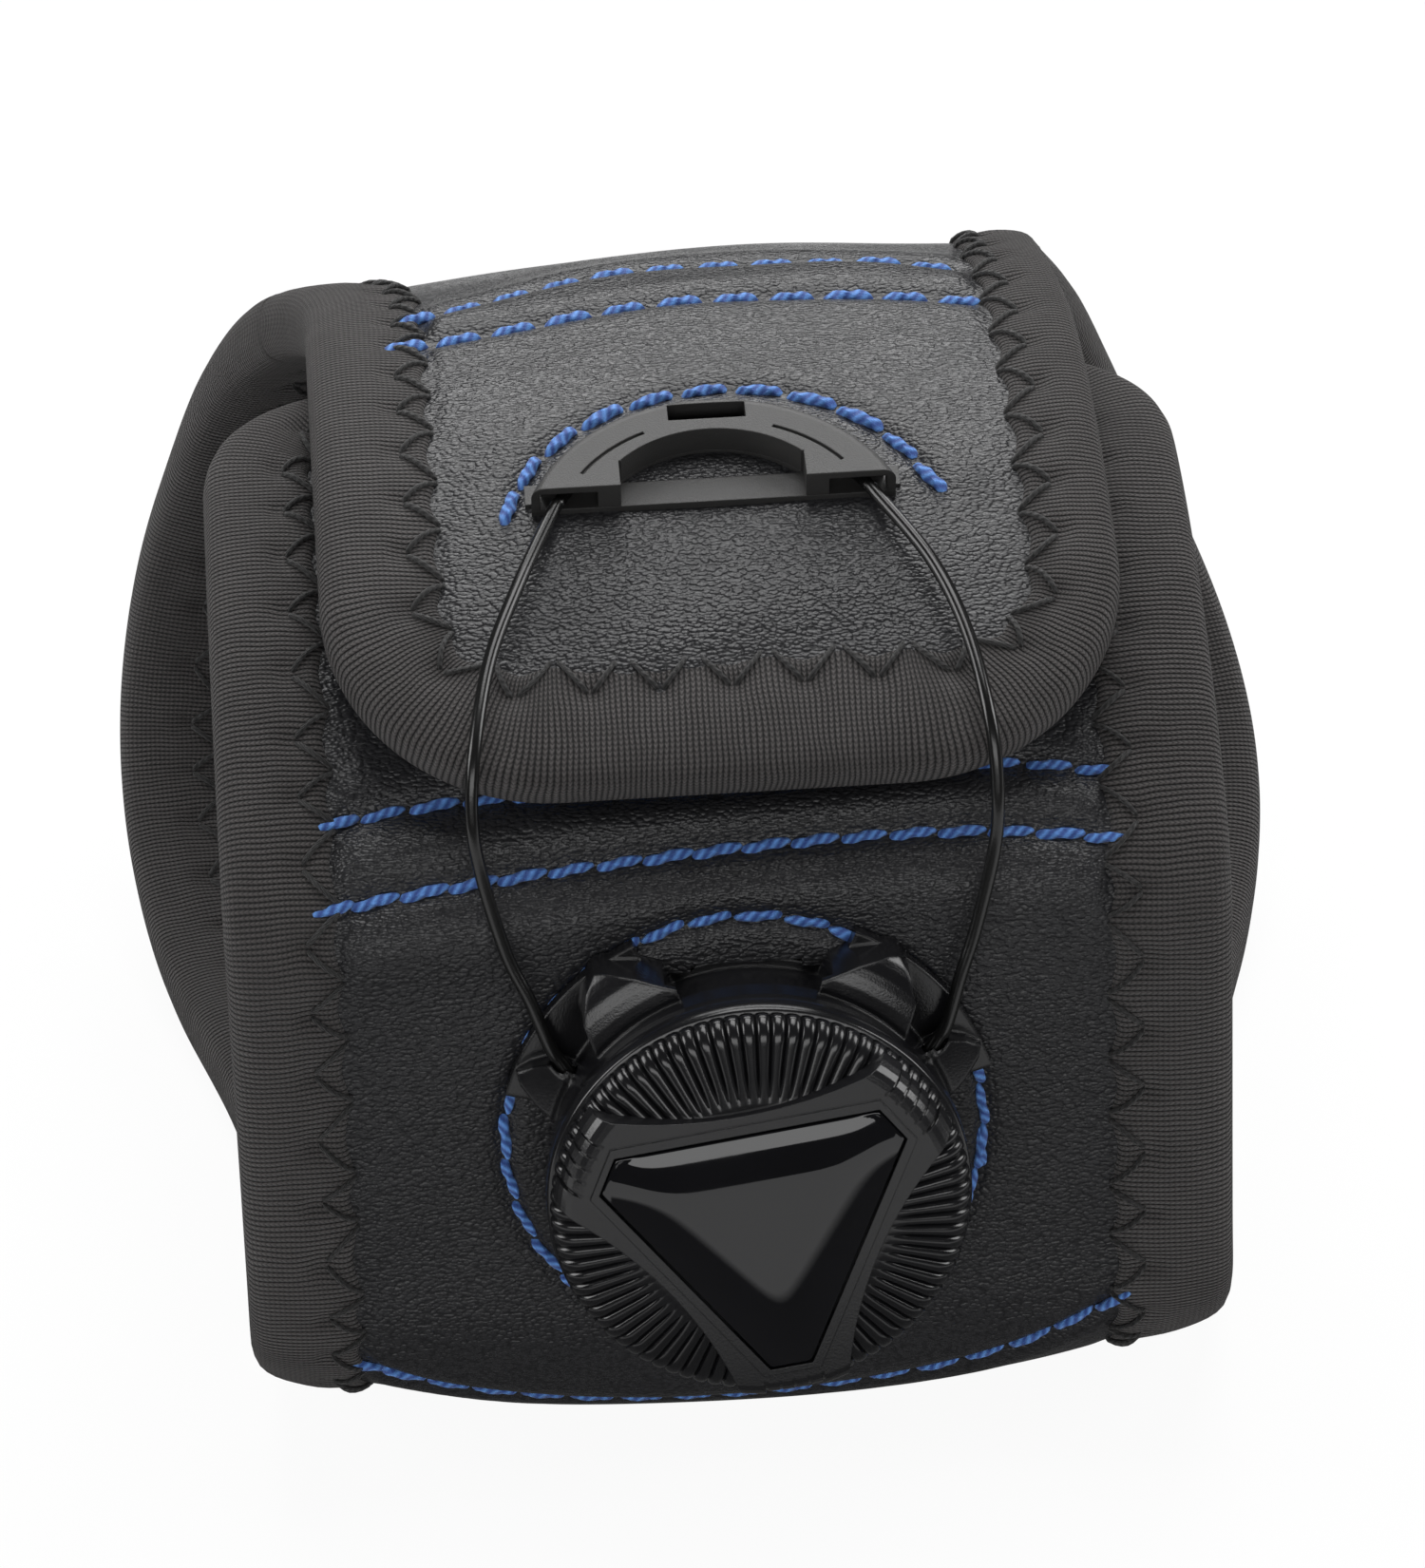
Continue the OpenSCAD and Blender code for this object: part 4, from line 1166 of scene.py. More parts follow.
@dataclass
class Seams:
    """Where the blue seams run: x is measured from the loop's middle, s along a strap."""

    line: StrapLine
    ring: Trio = (-0.4, 0.2, 17.8)          # middle across, above the dial, radius
    arc: Trio = (0.7, 19.3, 16.6)           # middle across, along, radius
    panel_low: tuple = ((-30, 195), (-25, 195.7), (-15, 196.7), (-5, 197.7), (5, 198),
                        (13, 198.2), (20, 198), (27, 197))
    panel_high: tuple = ((-29, 201.5), (-25, 202.3), (-15, 202.8), (0, 203), (20, 203.2),
                         (26.5, 202.3))
    panel_foot: tuple = ((-29.5, 154.5), (-24, 151), (-12, 148.4), (0, 148), (8, 149.3),
                         (15, 150.9), (20, 152.5), (24, 155), (27, 157.5))
    flap_low: tuple = ((-21.5, 46.6), (-16, 47.8), (-10, 49.3), (0, 50.3), (8, 50.4),
                       (15, 49.8), (20.5, 48.6))
    flap_high: tuple = ((-19.5, 53.3), (-15, 55.3), (-8, 57.8), (-2, 58.8), (5, 59.1),
                        (12, 58.3), (18, 56.8))
    fit_half: float = 31.0                  # how far from the middle the seams are followed
    swell: Trio = (0.45, 2.6, 1.5)          # share, distance, width beside a seam
    flap_seam: Pair = (0.60, 0.8)           # depth, width of the furrow
    arc_seam: Pair = (0.40, 0.7)
    panel_seam: Pair = (0.50, 0.75)
    foot_seam: Pair = (0.55, 0.8)
    ring_seam: Pair = (0.55, 0.62)
    ring_rise: float = 0.50                 # height of the leather inside the ring
    under_dial: Pair = (14.6, -2.0)         # radius, height
    flap_swell: Pair = (0.35, 2.6)          # height, width of the swell between two seams
    panel_swell: Pair = (0.45, 1.8)
    flap_waves: Trio = (0.16, 17, 1.3)      # height, size, pattern of the slow unevenness
    band_waves: Trio = (0.10, 19, 0.4)
    flap_full: Trio = (0.60, 24, 14)        # height, half width, length of its rise
    brow_rise: Trio = (0.50, 4.2, 2.3)      # height, distance below the seam, width
    foot_rise: Trio = (0.7, 146, 9)         # height, place, width

    def follow(self, places: tuple, x: Array) -> Array:
        """Smooth seam through places across and along."""
        across, along = np.transpose(places)
        return np.polyval(np.polyfit(across, along, 4), np.clip(x, -self.fit_half, self.fit_half))

    def groove(self, d: Array, depth: float, width: float) -> Array:
        """Furrow under a seam, with the leather swelling beside it."""
        share, at, wide = self.swell
        return -depth * bell(d, width) + share * depth * (bell(d - at, wide) + bell(d + at, wide))

    def relief(self, part: Part, x: Array, s: Array, room: Array) -> Array:
        """Height of the stuffed facing over its plain face.

        Args:
            part: which strap.
            x: places across.
            s: places along.
            room: distance inside the binding's inner edge.

        Returns:
            Heights in millimetres.
        """
        fade = ease((room + 0.3) / 2.0)
        return self.flap_relief(x, s, fade) if part is Part.FLAP else self.band_relief(x, s, fade)

    def quilt(self, s: Array, low: Array, high: Array, rise: Pair, furrow: Pair) -> Array:
        """Two seams and the swell between them, of a height and width."""
        return (rise[0] * bell(s - (low + high) / 2, rise[1])
                + self.groove(s - low, *furrow) + self.groove(s - high, *furrow))

    def flap_relief(self, x: Array, s: Array, fade: Array) -> Array:
        """Relief of the flap, fullest in its middle."""
        low, high = self.follow(self.flap_low, x), self.follow(self.flap_high, x)
        cx, cs, radius = self.arc
        full, half, rise = self.flap_full
        wave, size, pattern = self.flap_waves
        h = full * np.clip(1 - (x / half) ** 2, 0, 1) * ease(s / rise)
        h += wave * ripple(x, s, size, pattern)
        h += self.quilt(s, low, high, self.flap_swell, self.flap_seam)
        h += self.groove(np.hypot(x - cx, s - cs) - radius, *self.arc_seam) * ease((s - cs - 3) / 3)
        return h * fade * ease((self.line.crest_u + self.line.cut - s) / 6)

    def band_relief(self, x: Array, s: Array, fade: Array) -> Array:
        """Relief of the band, with a flat ring round the dial's seat."""
        low, high = self.follow(self.panel_low, x), self.follow(self.panel_high, x)
        cx, cy, radius = self.ring
        y = s - self.line.dial_s
        r = np.hypot(x - cx, y - cy)
        wave, size, pattern = self.band_waves
        h = wave * ripple(x, s, size, pattern)
        h += self.quilt(s, low, high, self.panel_swell, self.panel_seam)
        height, above, width = self.brow_rise
        h += height * bell(s - (low - above), width)
        h += self.groove(s - self.follow(self.panel_foot, x), *self.foot_seam)
        h += bumps(s, [self.foot_rise]) * np.clip(1 - (x / 30) ** 2, 0, 1)
        ring = ease((radius + 0.6 - r) / 1.3)
        depth, width = self.ring_seam
        h = h * (1 - ring) + ring * self.ring_rise - depth * bell(r - radius, width)
        h = h * fade * ease((s - self.line.cut) / 6)
        hidden_r, hidden_h = self.under_dial
        return np.where(np.hypot(x, y) < hidden_r, hidden_h, h)


@dataclass
class Layers:
    """Padded facing and lining of one strap."""

    part: Part
    run: Run
    seams: Seams
    start: float
    finishes: Finishes
    step: float = 0.55
    shown: int = 150        # points across the facing's outer side
    worn: int = 60          # points across the lining's inner side
    hidden: int = 9         # points across a side that is covered
    tip_rings: int = 18

    def stops(self) -> Array:
        """Distances at which the rings stand, close together at the tip."""
        line, run = self.run.line, self.run
        last = run.tip - run.sense * run.corner_r
        n = max(2, int(abs(last - self.start) / self.step))
        sides = np.linspace(self.start, last, n, endpoint=False)
        depth = line.edge_in + (run.corner_r - line.edge_in) * (
            1 - np.cos(np.linspace(math.pi / 2, 0, self.tip_rings)))
        return np.concatenate([sides, run.tip - run.sense * depth])

    def sheet(self, name: str, low: float, high: float, top: bool,
              material: Material, across: int) -> tuple[Object, float]:
        """One closed layer.

        Args:
            name: name of the piece.
            low: its underside.
            high: its upper side.
            top: True where the upper side carries the relief.
            material: finish.
            across: points across the shown side.

        Returns:
            The piece, and its flat area in square metres.
        """
        run, s = self.run, self.stops()
        half = run.round_half(s, run.line.edge_in)
        fine, plain = np.linspace(-1, 1, across), np.linspace(1, -1, self.hidden)
        xs, ss = half[:, None] * fine, np.repeat(s[:, None], across, 1)
        room = run.room(xs, ss)
        if top:
            relief = self.seams.relief(self.part, xs + run.sway(ss), ss, room)
            shown = run.lay(xs, ss, high + relief)
            hidden = run.lay(half[:, None] * plain, s[:, None], low)
        else:
            cut = ease(np.abs(ss - self.start) / 6) * ease(room / 3 + 1)
            shown = run.lay(xs, ss, low + 0.12 * (ripple(xs, ss, 13, 2.2) - 1) * cut)
            hidden = run.lay(half[:, None] * plain, s[:, None], high)
        uv_shown = np.stack([xs, ss], -1)
        uv_hidden = np.stack([half[:, None] * plain, np.repeat(s[:, None], self.hidden, 1)], -1)
        rings = np.concatenate([shown, hidden], 1)
        uv = np.concatenate([uv_shown, uv_hidden], 1)
        area = float(np.trapz(2 * half, np.abs(s - self.start))) * MM * MM
        return skin(name, rings, uv, (run.sense > 0) != top, material), area

    def build(self) -> tuple[Object, Object, float]:
        """Makes the facing with its padding, and the lining with its flat area."""
        line, name = self.run.line, self.part.value
        under = line.lining_t - line.strap_t
        facing, _ = self.sheet(f"{name}_leather", under + 0.02, 0.0, True,
                               self.finishes.leather, self.shown)
        lining, area = self.sheet(f"{name}_inner_knit", -line.strap_t, under, False,
                                  self.finishes.lining, self.worn)
        return facing, lining, area


@dataclass
class Tape:
    """Knitted binding wrapped round a strap's edge, with its black zigzag."""

    part: Part
    run: Run
    start: float
    tip_w: float
    finishes: Finishes
    seed: int
    step: float = 0.45
    pitch: float = 5.3
    needle_in: float = 2.3
    peak: float = 1.25
    dip: float = 0.5
    corner_in: float = 0.9
    uneven: float = 0.9         # how far a needle place strays along the seam
    needle_share: float = 0.8   # where the seam runs, as a share of the width
    side_rings: int = 260
    corner_rings: int = 40
    soft: int = 9               # neighbours that the inward directions are averaged over
    dimple_w: float = 1.15
    thread_r: float = 0.20
    thread_sides: int = 6
    over: float = 1.03          # where the thread dives beside the tape's inner edge
    xs: Array = field(init=False)
    ins: Array = field(init=False)
    width: Array = field(init=False)
    tau: Array = field(init=False)
    needles: Array = field(init=False)

    share = np.array([1.0, 0.99, 0.965, 0.92, 0.85, 0.76, 0.66, 0.56, 0.46, 0.36, 0.27,
                      0.19, 0.12, 0.065, 0.025, 0.004])
    rise = np.array([0.03, 0.22, 0.40, 0.54, 0.64, 0.70, 0.74, 0.76, 0.76, 0.74, 0.69,
                     0.59, 0.40, 0.08, -0.55, -1.35])

    def __post_init__(self) -> None:
        """Lays out the outline and the needle places."""
        run = self.run
        r, sense = run.corner_r, run.sense
        last = run.tip - sense * r
        s = np.linspace(self.start, last, self.side_rings)
        left = np.stack([-run.half(s), s], -1)
        half = float(run.half(np.array(last))) - r
        a = np.linspace(0, math.pi / 2, self.corner_rings)[1:]
        turn = np.stack([-half - r * np.cos(a), last + sense * r * np.sin(a)], -1)
        one = np.concatenate([left, turn])
        outline = np.concatenate([one, (one * [-1, 1])[::-1]])
        self.xs = spaced(outline, self.step)
        d = np.gradient(self.xs, axis=0)
        lap = self.soft // 2
        d = softened(np.pad(d, ((lap, lap), (0, 0)), mode="edge"), self.soft)
        d[0] = d[-1] = 0
        d[0, 1], d[-1, 1] = sense, -sense
        d /= np.linalg.norm(d, axis=1)[:, None]
        self.ins = np.stack([d[:, 1] * sense, -d[:, 0] * sense], -1)
        side = run.tape(self.xs[:, 1]) + run.lean * self.ins[:, 0]
        self.width = side + (self.tip_w - side) * self.ins[:, 1] ** 2
        self.width -= self.corner_in * (2 * self.ins[:, 0] * self.ins[:, 1]) ** 2
        self.tau = run_of(self.xs + (self.needle_share * self.width)[:, None] * self.ins)
        rng = np.random.default_rng(self.seed)
        n = int(self.tau[-1] / self.pitch)
        jitter = rng.uniform(-self.uneven, self.uneven, n + 1) * (1 - 0.75 * np.interp(
            np.linspace(0, self.tau[-1], n + 1), self.tau, self.ins[:, 1] ** 2))
        self.needles = (np.arange(n + 1) + 0.5) * self.tau[-1] / (n + 1) + jitter

    def phase(self, tau: Array) -> Array:
        """0 at a needle place on the leather, 0.5 at the one on the tape between two."""
        n = np.interp(tau, self.needles, np.arange(len(self.needles)))
        return np.abs(n - np.round(n))

    def fade(self, tau: Array) -> Array:
        """Falls from 1 to 0 at both ends of the seam."""
        return ease(np.minimum(tau, self.tau[-1] - tau) / 3)

    def at(self, tau: Array, values: Array) -> Array:
        """Values of the outline at distances along the seam."""
        values = np.asarray(values)
        if values.ndim == 1:
            return np.interp(tau, self.tau, values)
        return np.stack([np.interp(tau, self.tau, values[:, k])
                         for k in range(values.shape[1])], -1)

    def reach(self, tau: Array) -> Array:
        """How far the tape's inner edge is drawn over the leather."""
        size = self.peak * (0.55 + 0.45 * self.at(tau, self.ins[:, 1] ** 2))
        return self.fade(tau) * size * ((1 - 2 * self.phase(tau)) ** 1.4 - 0.35)

    def height(self, tau: Array, share: Array) -> Array:
        """Height of the tape over the face that it covers."""
        base = np.interp(1 - share, 1 - self.share, self.rise)
        width = self.at(tau, self.width)
        q = share * width
        across = q - (width - self.needle_in)
        along = (0.5 - self.phase(tau)) * self.pitch
        fade = self.fade(tau)
        dimple = self.dip * np.exp(-(along**2 + across**2) / self.dimple_w)
        puff = 0.10 * np.sin(math.pi * np.clip(share, 0, 1)) * (
            1 + ripple(tau, q, 11, self.seed))
        pull = 0.22 * bell(self.phase(tau) * self.pitch, 1.1) * ease((share - 0.55) / 0.4)
        return base + puff * fade - (dimple + pull) * fade * ease((share - 0.1) / 0.2)

    def lay(self, tau: Array, share: Array, back: bool, above: Array = 0.0) -> Array:
        """Points on the tape.

        Args:
            tau: distances along the seam.
            share: distance from the outer edge as a share of the width.
            back: True on the side against the limb.
            above: height over the tape.

        Returns:
            Points in millimetres.
        """
        line = self.run.line
        q = share * self.at(tau, self.width) + share**4 * self.reach(tau)
        xs = self.at(tau, self.xs) + q[..., None] * self.at(tau, self.ins)
        h = self.height(tau, share) + above
        return self.run.lay(xs[..., 0], xs[..., 1], -line.strap_t - h if back else h)

    def build(self) -> Object:
        """Makes the tape's skin."""
        line = self.run.line
        middle = np.full_like(self.tau, -line.strap_t / 2)
        front = [self.lay(self.tau, np.full_like(self.tau, c), False) for c in self.share]
        edge = self.run.lay(self.xs[:, 0], self.xs[:, 1], middle)
        back = [self.lay(self.tau, np.full_like(self.tau, c), True) for c in self.share[::-1]]
        rings = np.stack(front + [edge] + back, 1)
        steps = np.linalg.norm(np.diff(rings, axis=1), axis=2)
        v = np.concatenate([np.zeros((len(rings), 1)), np.cumsum(steps, 1)], 1)
        v = np.repeat(np.median(v, 0)[None], len(rings), 0)
        u = run_of(self.xs + (0.45 * self.width)[:, None] * self.ins)
        u = np.repeat(u[:, None], rings.shape[1], 1)
        return skin(f"{self.part.value}_knit_binding", rings, np.stack([u, v], -1),
                    self.run.sense > 0, self.finishes.tape)

    def threads(self, cordage: Cordage, back: bool) -> Object:
        """Makes the zigzag on one side of the strap."""
        half_way = (self.needles[:-1] + self.needles[1:]) / 2
        stops = np.empty(2 * len(self.needles) - 1)
        stops[0::2], stops[1::2] = self.needles, half_way
        t = np.linspace(0, 1, 8)
        arch = 0.12 + 0.11 * np.sin(math.pi * t) - 0.75 * np.clip(np.abs(2 * t - 1) * 6 - 5, 0, 1)
        points = []
        for k in range(len(stops) - 1):
            tau = stops[k] + (stops[k + 1] - stops[k]) * t
            width = float(self.at(np.array(stops[k]), self.width))
            ends = (self.over, (width - self.needle_in) / width)
            a, b = ends if k % 2 == 0 else ends[::-1]
            share = a + (b - a) * t
            points.append(self.lay(tau, share, back, arch))
        side = "inside" if back else "outside"
        return cordage.spin(f"{self.part.value}_zigzag_{side}", np.concatenate(points),
                            self.thread_r, self.thread_sides, self.finishes.black)


@dataclass
class Stitching:
    """Blue seams of both straps, each of short twisted stitches."""

    seams: Seams
    band: Run
    flap: Run
    finishes: Finishes
    length: float = 3.85
    radius: float = 0.385
    sink: float = -0.08
    slant: float = 0.11
    rings: int = 15
    sides: int = 12
    loft: float = 0.24      # height of a stitch's middle over the leather
    dive: float = 0.36      # how far its ends go down
    ply: float = 0.16       # relief of the three plies
    lay: float = 3.6        # their turn in radians for each millimetre
    panel_pitch: float = 3.6
    flap_pitch: float = 4.0

    def stitch(self, size: float) -> Object:
        """One stitch of a thickness: a three-ply thread whose ends dive into the leather."""
        n, sides = self.rings, self.sides
        t = np.linspace(-1, 1, n)
        a = np.linspace(0, 2 * math.pi, sides, endpoint=False)
        x = t * self.length / 2
        body = size * self.radius * np.sqrt(np.maximum(0.02, 1 - np.abs(t) ** 5 * 0.9))
        lift = self.loft * size - self.dive * np.abs(t) ** 4
        ply = 1 + self.ply * np.cos(3 * a[None] - self.lay * x[:, None])
        r = body[:, None] * ply
        points = np.stack([np.repeat(x[:, None], sides, 1),
                           r * np.cos(a) + self.slant * x[:, None],
                           r * np.sin(a) + lift[:, None]], -1)
        uv = np.stack([np.repeat(x[:, None], sides, 1),
                       np.repeat(a[None] / (2 * math.pi), n, 0)], -1)
        return skin("stitch", points, uv)

    def row(self, garland: Garland, shape: Object, name: str, part: Part,
            path: Array, seed: int) -> Object:
        """One seam along a path of (x, s) pairs, x from the loop's middle."""
        run = self.band if part is Part.BAND else self.flap
        pitch = self.panel_pitch if part is Part.BAND else self.flap_pitch
        path = spaced(path, 0.4)
        across = path[:, 0] - run.sway(path[:, 1])
        relief = self.seams.relief(part, path[:, 0], path[:, 1], run.room(across, path[:, 1]))
        points = run.lay(across, path[:, 1], relief + self.sink)
        return garland.sew(name, points, run.normal(path[:, 1]), shape, pitch,
                           self.finishes.blue, seed)

    def build(self, garland: Garland) -> list[tuple[Object, Part]]:
        """Sews every seam."""
        seams = self.seams
        shapes = {Part.BAND: self.stitch(1.0), Part.FLAP: self.stitch(1.28)}

        def across(places: tuple, reach: float) -> Array:
            """Path of a seam that runs across."""
            x = np.linspace(places[0][0] - reach, places[-1][0] + reach, 60)
            return np.stack([x, seams.follow(places, x)], -1)

        def around(middle: tuple, start: float, end: float, base: float) -> Array:
            """Path of a round seam, between two angles."""
            a = np.radians(np.linspace(start, end, 160))
            return np.stack([middle[0] + middle[2] * np.cos(a),
                             base + middle[1] + middle[2] * np.sin(a)], -1)

        rows = [
            ("seam_panel_low", Part.BAND, across(seams.panel_low, 0.3)),
            ("seam_panel_high", Part.BAND, across(seams.panel_high, 0.5)),
            ("seam_panel_foot", Part.BAND, across(seams.panel_foot, 0.2)),
            ("seam_flap_low", Part.FLAP, across(seams.flap_low, 0.6)),
            ("seam_flap_high", Part.FLAP, across(seams.flap_high, 1.6)),
            ("seam_dial_ring", Part.BAND, around(seams.ring, -8, 352, seams.line.dial_s)),
            ("seam_guide_arc", Part.FLAP, around(seams.arc, 20, 163, 0)),
        ]
        made = [(self.row(garland, shapes[part], name, part, path, k + 3), part)
                for k, (name, part, path) in enumerate(rows)]
        for shape in shapes.values():
            bpy.data.objects.remove(shape)
        return made


# ---------------------------------------------------------------- lace


@dataclass
class Lace:
    """The two free stretches of lace between the guide and the dial."""

    line: StrapLine
    finishes: Finishes
    diameter: float = 1.0
    guide_at: float = 27.6
    guide_d: float = 9.2
    guide_r: float = 14.6
    channel_r: float = 12.7
    channel_a: float = 28.0
    lace_z: float = 1.65
    port_z: float = 2.6
    port_turn: float = 121.0
    port_out: float = 14.6
    lace_line: float = 7.6
    sides: int = 18
    per_leg: int = 9
    left_way: tuple = ((-15, -18, 69), (-17.5, -24, 66.5), (-19, -30, 63), (-19.5, -32.5, 58.5),
                       (-19, -33.5, 54), (-17.5, -35, 48), (-16, -36, 44.5))
    right_way: tuple = ((15.5, -18, 69), (17.5, -24, 66.5), (18.5, -30, 63),
                        (18.8, -32.5, 58.5), (18.5, -33.5, 54), (17, -35, 48),
                        (15.8, -36, 44.5))

    def way_out(self, side: int, below: float) -> Array:
        """Place on the lace's straight way out of the guide, at a distance below its mouth."""
        a = math.radians(self.channel_a)
        mouth = 0.1 - self.guide_d / 2
        bend_x = self.channel_r * math.cos(a)
        bend_y = self.guide_d / 2 - self.guide_r + self.channel_r * math.sin(a)
        x = side * (bend_x + (bend_y - mouth + below) * math.tan(a))
        turn = self.line.flap_end + math.degrees(self.guide_at / self.line.flap_r)
        c = self.line.flap_c + (self.line.flap_r + self.lace_z) * out(turn)
        return np.array([x, *(c + (mouth - below) * up(turn))])

    def from_dial(self, x: float, y: float, z: float) -> Array:
        """Place in the dial's frame, moved into the strap's."""
        c = self.line.dial_c + y * up(self.line.dial_lean) + z * out(self.line.dial_lean)
        return np.array([x, *c])

    def port(self, side: int, d: float) -> Array:
        """Place on the line through a port, at a distance from the spool."""
        a = math.radians(self.port_turn)
        return self.from_dial(-side * (-self.lace_line * math.sin(a) + d * math.cos(a)),
                              self.lace_line * math.cos(a) + d * math.sin(a), self.port_z)

    def route(self, side: int) -> Array:
        """Whole free stretch in millimetres, from the guide to the dial."""
        way = self.left_way if side < 0 else self.right_way
        knots = [self.way_out(side, 0.05), self.way_out(side, 1.2),
                 *[np.array(p, float) for p in way],
                 self.port(side, self.port_out + 1.2), self.port(side, self.port_out)]
        return smooth_path(np.array(knots), self.per_leg)

    def build(self) -> None:
        """Makes both stretches."""
        for side, label in ((-1, "left"), (1, "right")):
            path = self.route(side)
            cord = tube(f"lace_{label}_free", path, self.diameter / 2, self.sides,
                        self.finishes.lace)
            length = float(run_of(path)[-1])
            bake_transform(cord)
            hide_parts(f"lace_{label}")
            log.info("lace %s: %.1f mm long", label, length)


# ---------------------------------------------------------------- studio


@dataclass
class Studio:
    """Camera, soft lights and a pale floor."""

    azimuth: float = -3.496
    elevation: float = 35.425
    roll: float = -1.342
    distance: float = 541.218
    target: Trio = (-0.468, -7.817, 42.801)
    lens: float = 161.98
    table_r: float = 270.0
    whiteness: float = 0.94
    # near the strap the floor shows glossy rays only this share of its white: painted shade in the
    # reflections
    painted_shadow_shine: float = 0.10
    far_shine: float = 1.0
    shine_from: float = 0.42        # share of the floor's radius where the shine starts to grow
    shine_to: float = 0.46
    fill: float = 0.07
    aim: Trio = (0, 0, 0.035)
    lamps: tuple = (
        ("back_softbox", (0.04, 0.60, 0.50), (0.62, 0.46), 4.6),
        ("top_softbox", (0.05, 0.16, 0.80), (0.50, 0.40), 3.3),
        ("left_softbox", (-0.66, -0.02, 0.34), (0.32, 0.42), 2.3),
        ("right_softbox", (0.66, 0.02, 0.38), (0.32, 0.42), 2.3),
        ("front_softbox", (-0.05, -0.85, 0.36), (1.10, 0.32), 3.3),
    )

    def camera(self) -> None:
        """Sets up the camera."""
        a, e, r = (math.radians(v) for v in (self.azimuth, self.elevation, self.roll))
        back = Vector((math.sin(a) * math.cos(e), -math.cos(a) * math.cos(e), math.sin(e)))
        right = Vector((math.cos(a), math.sin(a), 0))
        upward = back.cross(right)
        x = right * math.cos(r) + upward * math.sin(r)
        y = upward * math.cos(r) - right * math.sin(r)
        data = bpy.data.cameras.new("camera")
        data.sensor_width, data.lens = 36.0, self.lens
        data.clip_start, data.clip_end = 0.05, 10
        camera = link(bpy.data.objects.new("camera", data))
        place = (Vector(self.target) + back * self.distance) * MM
        camera.matrix_world = Matrix.Translation(place) @ Matrix((x, y, back)).transposed().to_4x4()
        bpy.context.scene.camera = camera

    def floor_shine(self, s: Shader) -> tuple[Socket, Socket]:
        """Share and strength of the floor's own white; near the strap glossy rays see it dimmed,
        which is painted shade in the reflections.
        """
        path = s.node("ShaderNodeLightPath")
        shiny = path.outputs["Is Glossy Ray"]
        seen = s.mul(self.whiteness, s.math("MAXIMUM", path.outputs["Is Camera Ray"],
                                            path.outputs["Is Transmission Ray"]))
        away = s.node("ShaderNodeVectorMath", {0: s.place()}, operation="LENGTH")
        # dim near the strap, full white farther out: painted shade seen only in reflections
        shine_with_painted_shadow = s.ramp(s.math("DIVIDE", away.outputs[1], self.table_r),
                          [(self.shine_from, self.painted_shadow_shine), (self.shine_to, self.far_shine)])
        strength = s.node("ShaderNodeMix", {0: shiny, 2: 1.0, 3: shine_with_painted_shadow}, data_type="FLOAT")
        return s.math("MAXIMUM", seen, shiny), strength.outputs[0]

    def lamp(self, name: str, place: Trio, size: Pair, power: float) -> None:
        """Adds a rectangular softbox.

        Args:
            name: name of the lamp.
            place: where it hangs, in metres.
            size: width and height in metres.
            power: watts.
        """
        data = bpy.data.lights.new(name, "AREA")
        data.shape, data.size, data.size_y, data.energy = "RECTANGLE", *size, power
        lamp = link(bpy.data.objects.new(name, data))
        lamp.location = place
        lamp.rotation_mode = "QUATERNION"
        towards = Vector(self.aim) - Vector(place)
        lamp.rotation_quaternion = towards.to_track_quat("-Z", "Y")

    def floor(self) -> Object:
        """Plain pale round table top that keeps the soft shadow."""
        a = np.linspace(0, 2 * math.pi, 96, endpoint=False)
        points = np.stack([self.table_r * np.cos(a), self.table_r * np.sin(a), 0 * a], -1)
        s = Shader("floor")
        s.finish((0.82, 0.82, 0.82), 0.9, Specular_IOR_Level=0.0)
        share, strength = self.floor_shine(s)
        glow = s.node("ShaderNodeEmission", {"Color": (1, 1, 1), "Strength": strength})
        mix = s.node("ShaderNodeMixShader", {0: share, 1: s.body.outputs[0], 2: glow.outputs[0]})
        s.put(mix.outputs[0], s.tree.nodes["Material Output"].inputs["Surface"])
        return make_mesh("floor", points, [range(len(points))], None, s.material)

    def world(self) -> None:
        """White background with an even grey fill on the object."""
        world = bpy.data.worlds.new("room")
        bpy.context.scene.world = world
        world.use_nodes = True
        room = Builder(world.node_tree)
        soft = room.tree.nodes["Background"]
        room.put((1, 1, 1), soft.inputs[0])
        room.put(self.fill, soft.inputs[1])
        seen = room.node("ShaderNodeBackground", {0: (1, 1, 1), 1: 1.0})
        path = room.node("ShaderNodeLightPath")
        mix = room.node("ShaderNodeMixShader", {0: path.outputs["Is Camera Ray"],
                                                1: soft.outputs[0], 2: seen.outputs[0]})
        room.put(mix.outputs[0], room.tree.nodes["World Output"].inputs["Surface"])

    def build(self) -> None:
        """Sets the whole stage."""
        self.camera()
        self.world()
        self.floor()
        for row in self.lamps:
            self.lamp(*row)
        bpy.context.scene.view_settings.view_transform = "Standard"


# ---------------------------------------------------------------- the whole strap


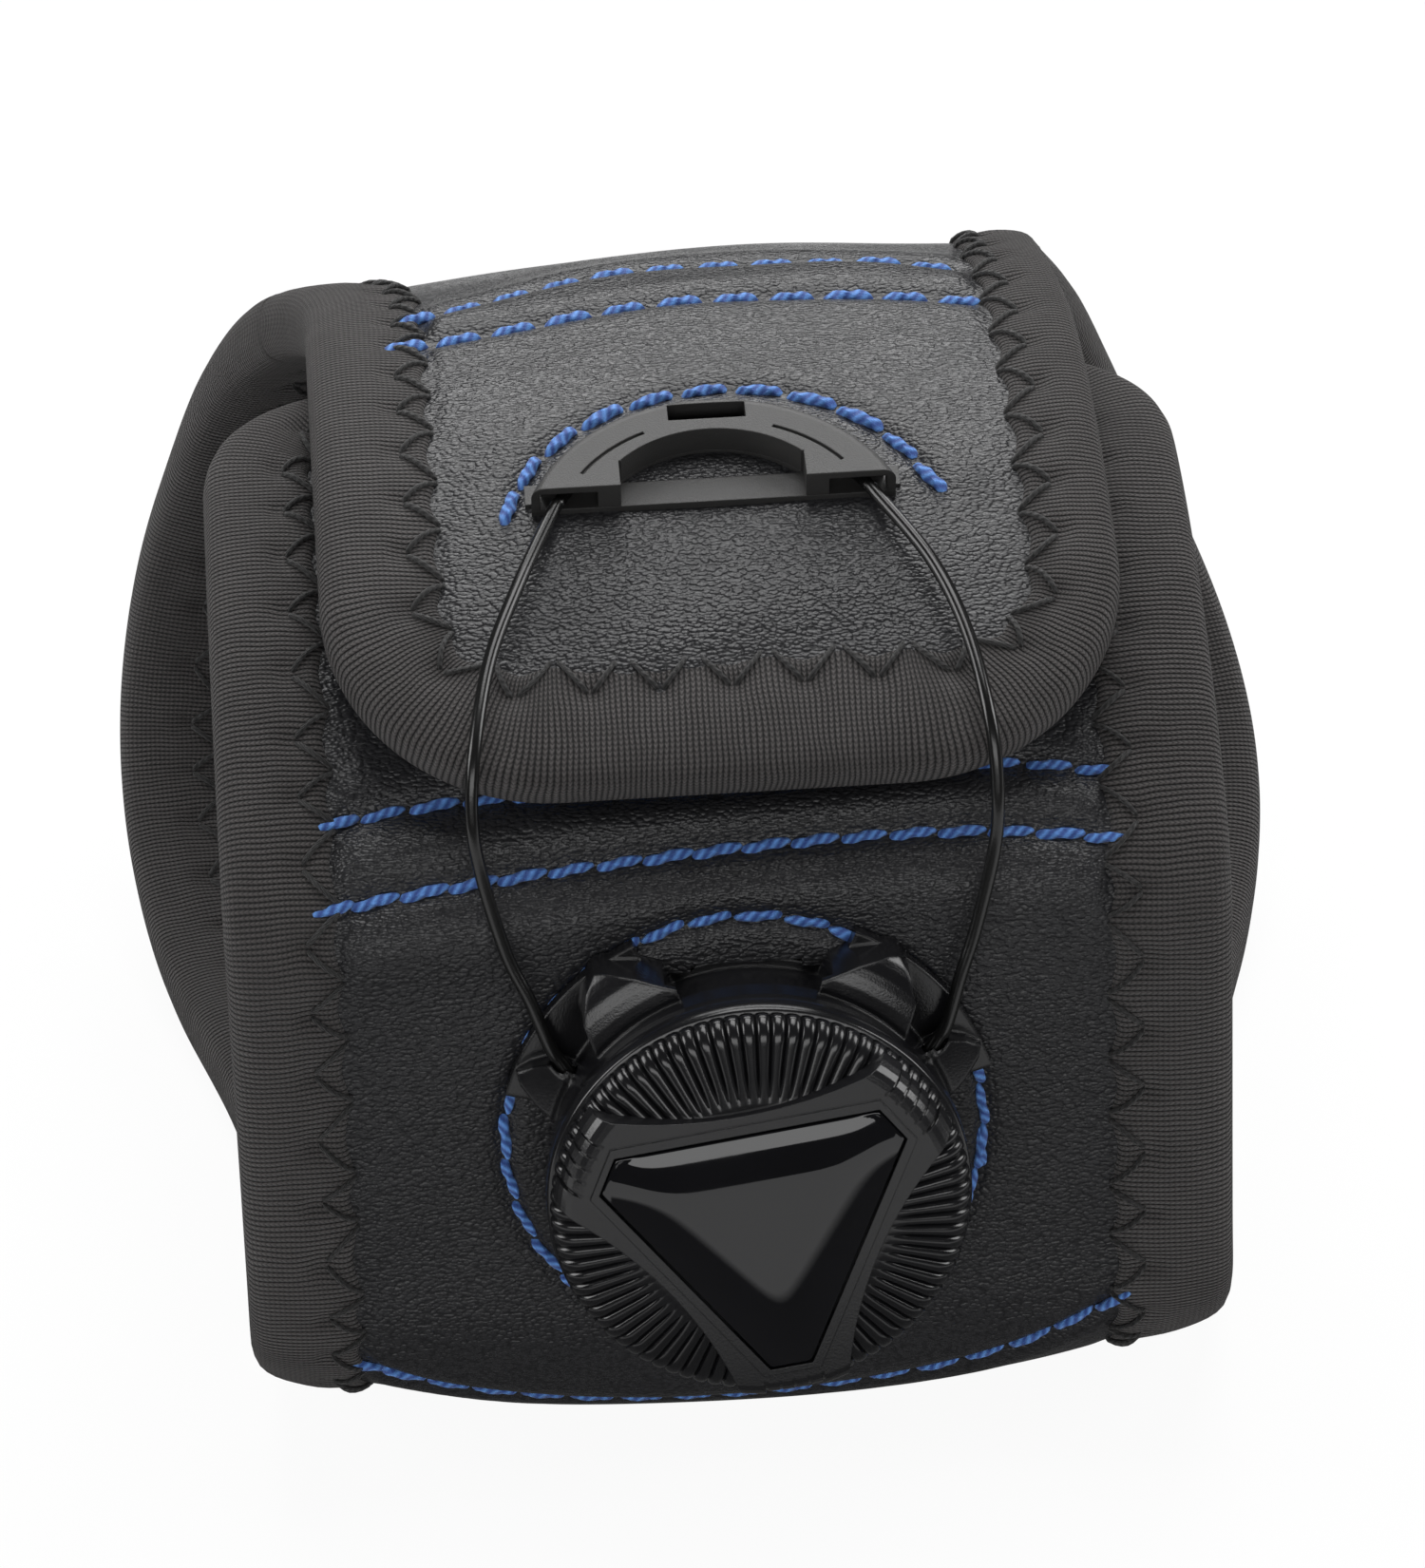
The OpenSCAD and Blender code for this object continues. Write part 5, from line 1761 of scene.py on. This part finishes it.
@dataclass
class Strap:
    """Puts every sub-assembly together."""

    line: StrapLine = field(default_factory=StrapLine)

    def runs(self) -> dict[Part, Run]:
        """The two straps as surfaces."""
        line = self.line
        return {
            Part.BAND: Run(line, line.band_place, line.band_half, line.band_tape,
                           line.band_sway, -0.4, 0.0, line.marks[-1], line.tongue_corner_r, 1),
            Part.FLAP: Run(line, line.flap_place, line.flap_half, line.flap_tape,
                           line.flap_sway, 1.1, line.crest_u, 0.0, line.corner_r, -1),
        }

    def settle(self, piece: Object, part: Part) -> None:
        """Seats a soft piece: the band's rides on the strap, the flap's is baked where it lies."""
        if part is Part.BAND:
            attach(piece, "strap")
            return
        flap = self.runs()[Part.FLAP]
        u = self.line.crest_u
        start = flap.lay(0, u + self.line.cut - 1, -2) * MM
        end = flap.lay(0, u - 10, -2) * MM
        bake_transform(piece)

    def soft(self, finishes: Finishes) -> None:
        """Makes the padded layers, their bindings and the seams."""
        runs, seams = self.runs(), Seams(self.line)
        garland, cordage = Garland(), Cordage()
        starts = {Part.BAND: self.line.cut, Part.FLAP: self.line.crest_u + self.line.cut}
        tips = {Part.BAND: self.line.bind_w, Part.FLAP: self.line.end_bind_w}
        seeds = {Part.BAND: 5, Part.FLAP: 8}
        for part, run in runs.items():
            name = part.value
            facing, lining, area = Layers(part, run, seams, starts[part], finishes).build()
            tape = Tape(part, run, starts[part], tips[part], finishes, seeds[part])
            binding = tape.build()
            for piece, slot in ((facing, "facing"), (lining, "lining"), (binding, "binding")):
                self.settle(piece, part)
            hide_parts(f"{name}_facing", f"{name}_pad")
            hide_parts(f"{name}_lining")
            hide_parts(f"{name}_binding")
            widest = 2 * float(np.max(run.half(np.linspace(starts[part], run.tip, 99)))) * MM
            for back in (False, True):
                seam = tape.threads(cordage, back)
                self.settle(seam, part)
            log.info("%s: leather, lining, binding and zigzag", name)
        stitching = Stitching(seams, runs[Part.BAND], runs[Part.FLAP], finishes)
        for piece, part in stitching.build(garland):
            self.settle(piece, part)
            log.info("seam %s", piece.name)

    def build(self) -> None:
        """Builds everything in order."""
        Studio().build()
        finishes = Finishes()
        Dial(self.line, finishes).build()
        Lace(self.line, finishes).build()
        self.soft(finishes)
        dress = (
            (finishes.housing, ("dial_base",)),
            (finishes.frame, ("knob_frame",)),
            (finishes.guide, ("guide_base", "guide_cover")),
            (finishes.lace, ("guide_lace", "lace_tail_left", "lace_tail_right", "lace_winding")),
            (finishes.nylon, ("spool", "pawl_ring")),
            (finishes.acetal, ("detent_bush",)),
            (finishes.steel, ("ratchet_ring", "axle_screw")),
        )
        for material, nodes in dress:
            for node in nodes:
                mesh = frame["nodes"][node].data
                mesh.materials.clear()
                mesh.materials.append(material)
                log.info("finish on %s", node)


def main() -> None:
    """Builds the strap."""
    logging.basicConfig(level=logging.INFO, format="%(name)s: %(message)s")
    Strap().build()


if __name__ == "__main__":
    main()
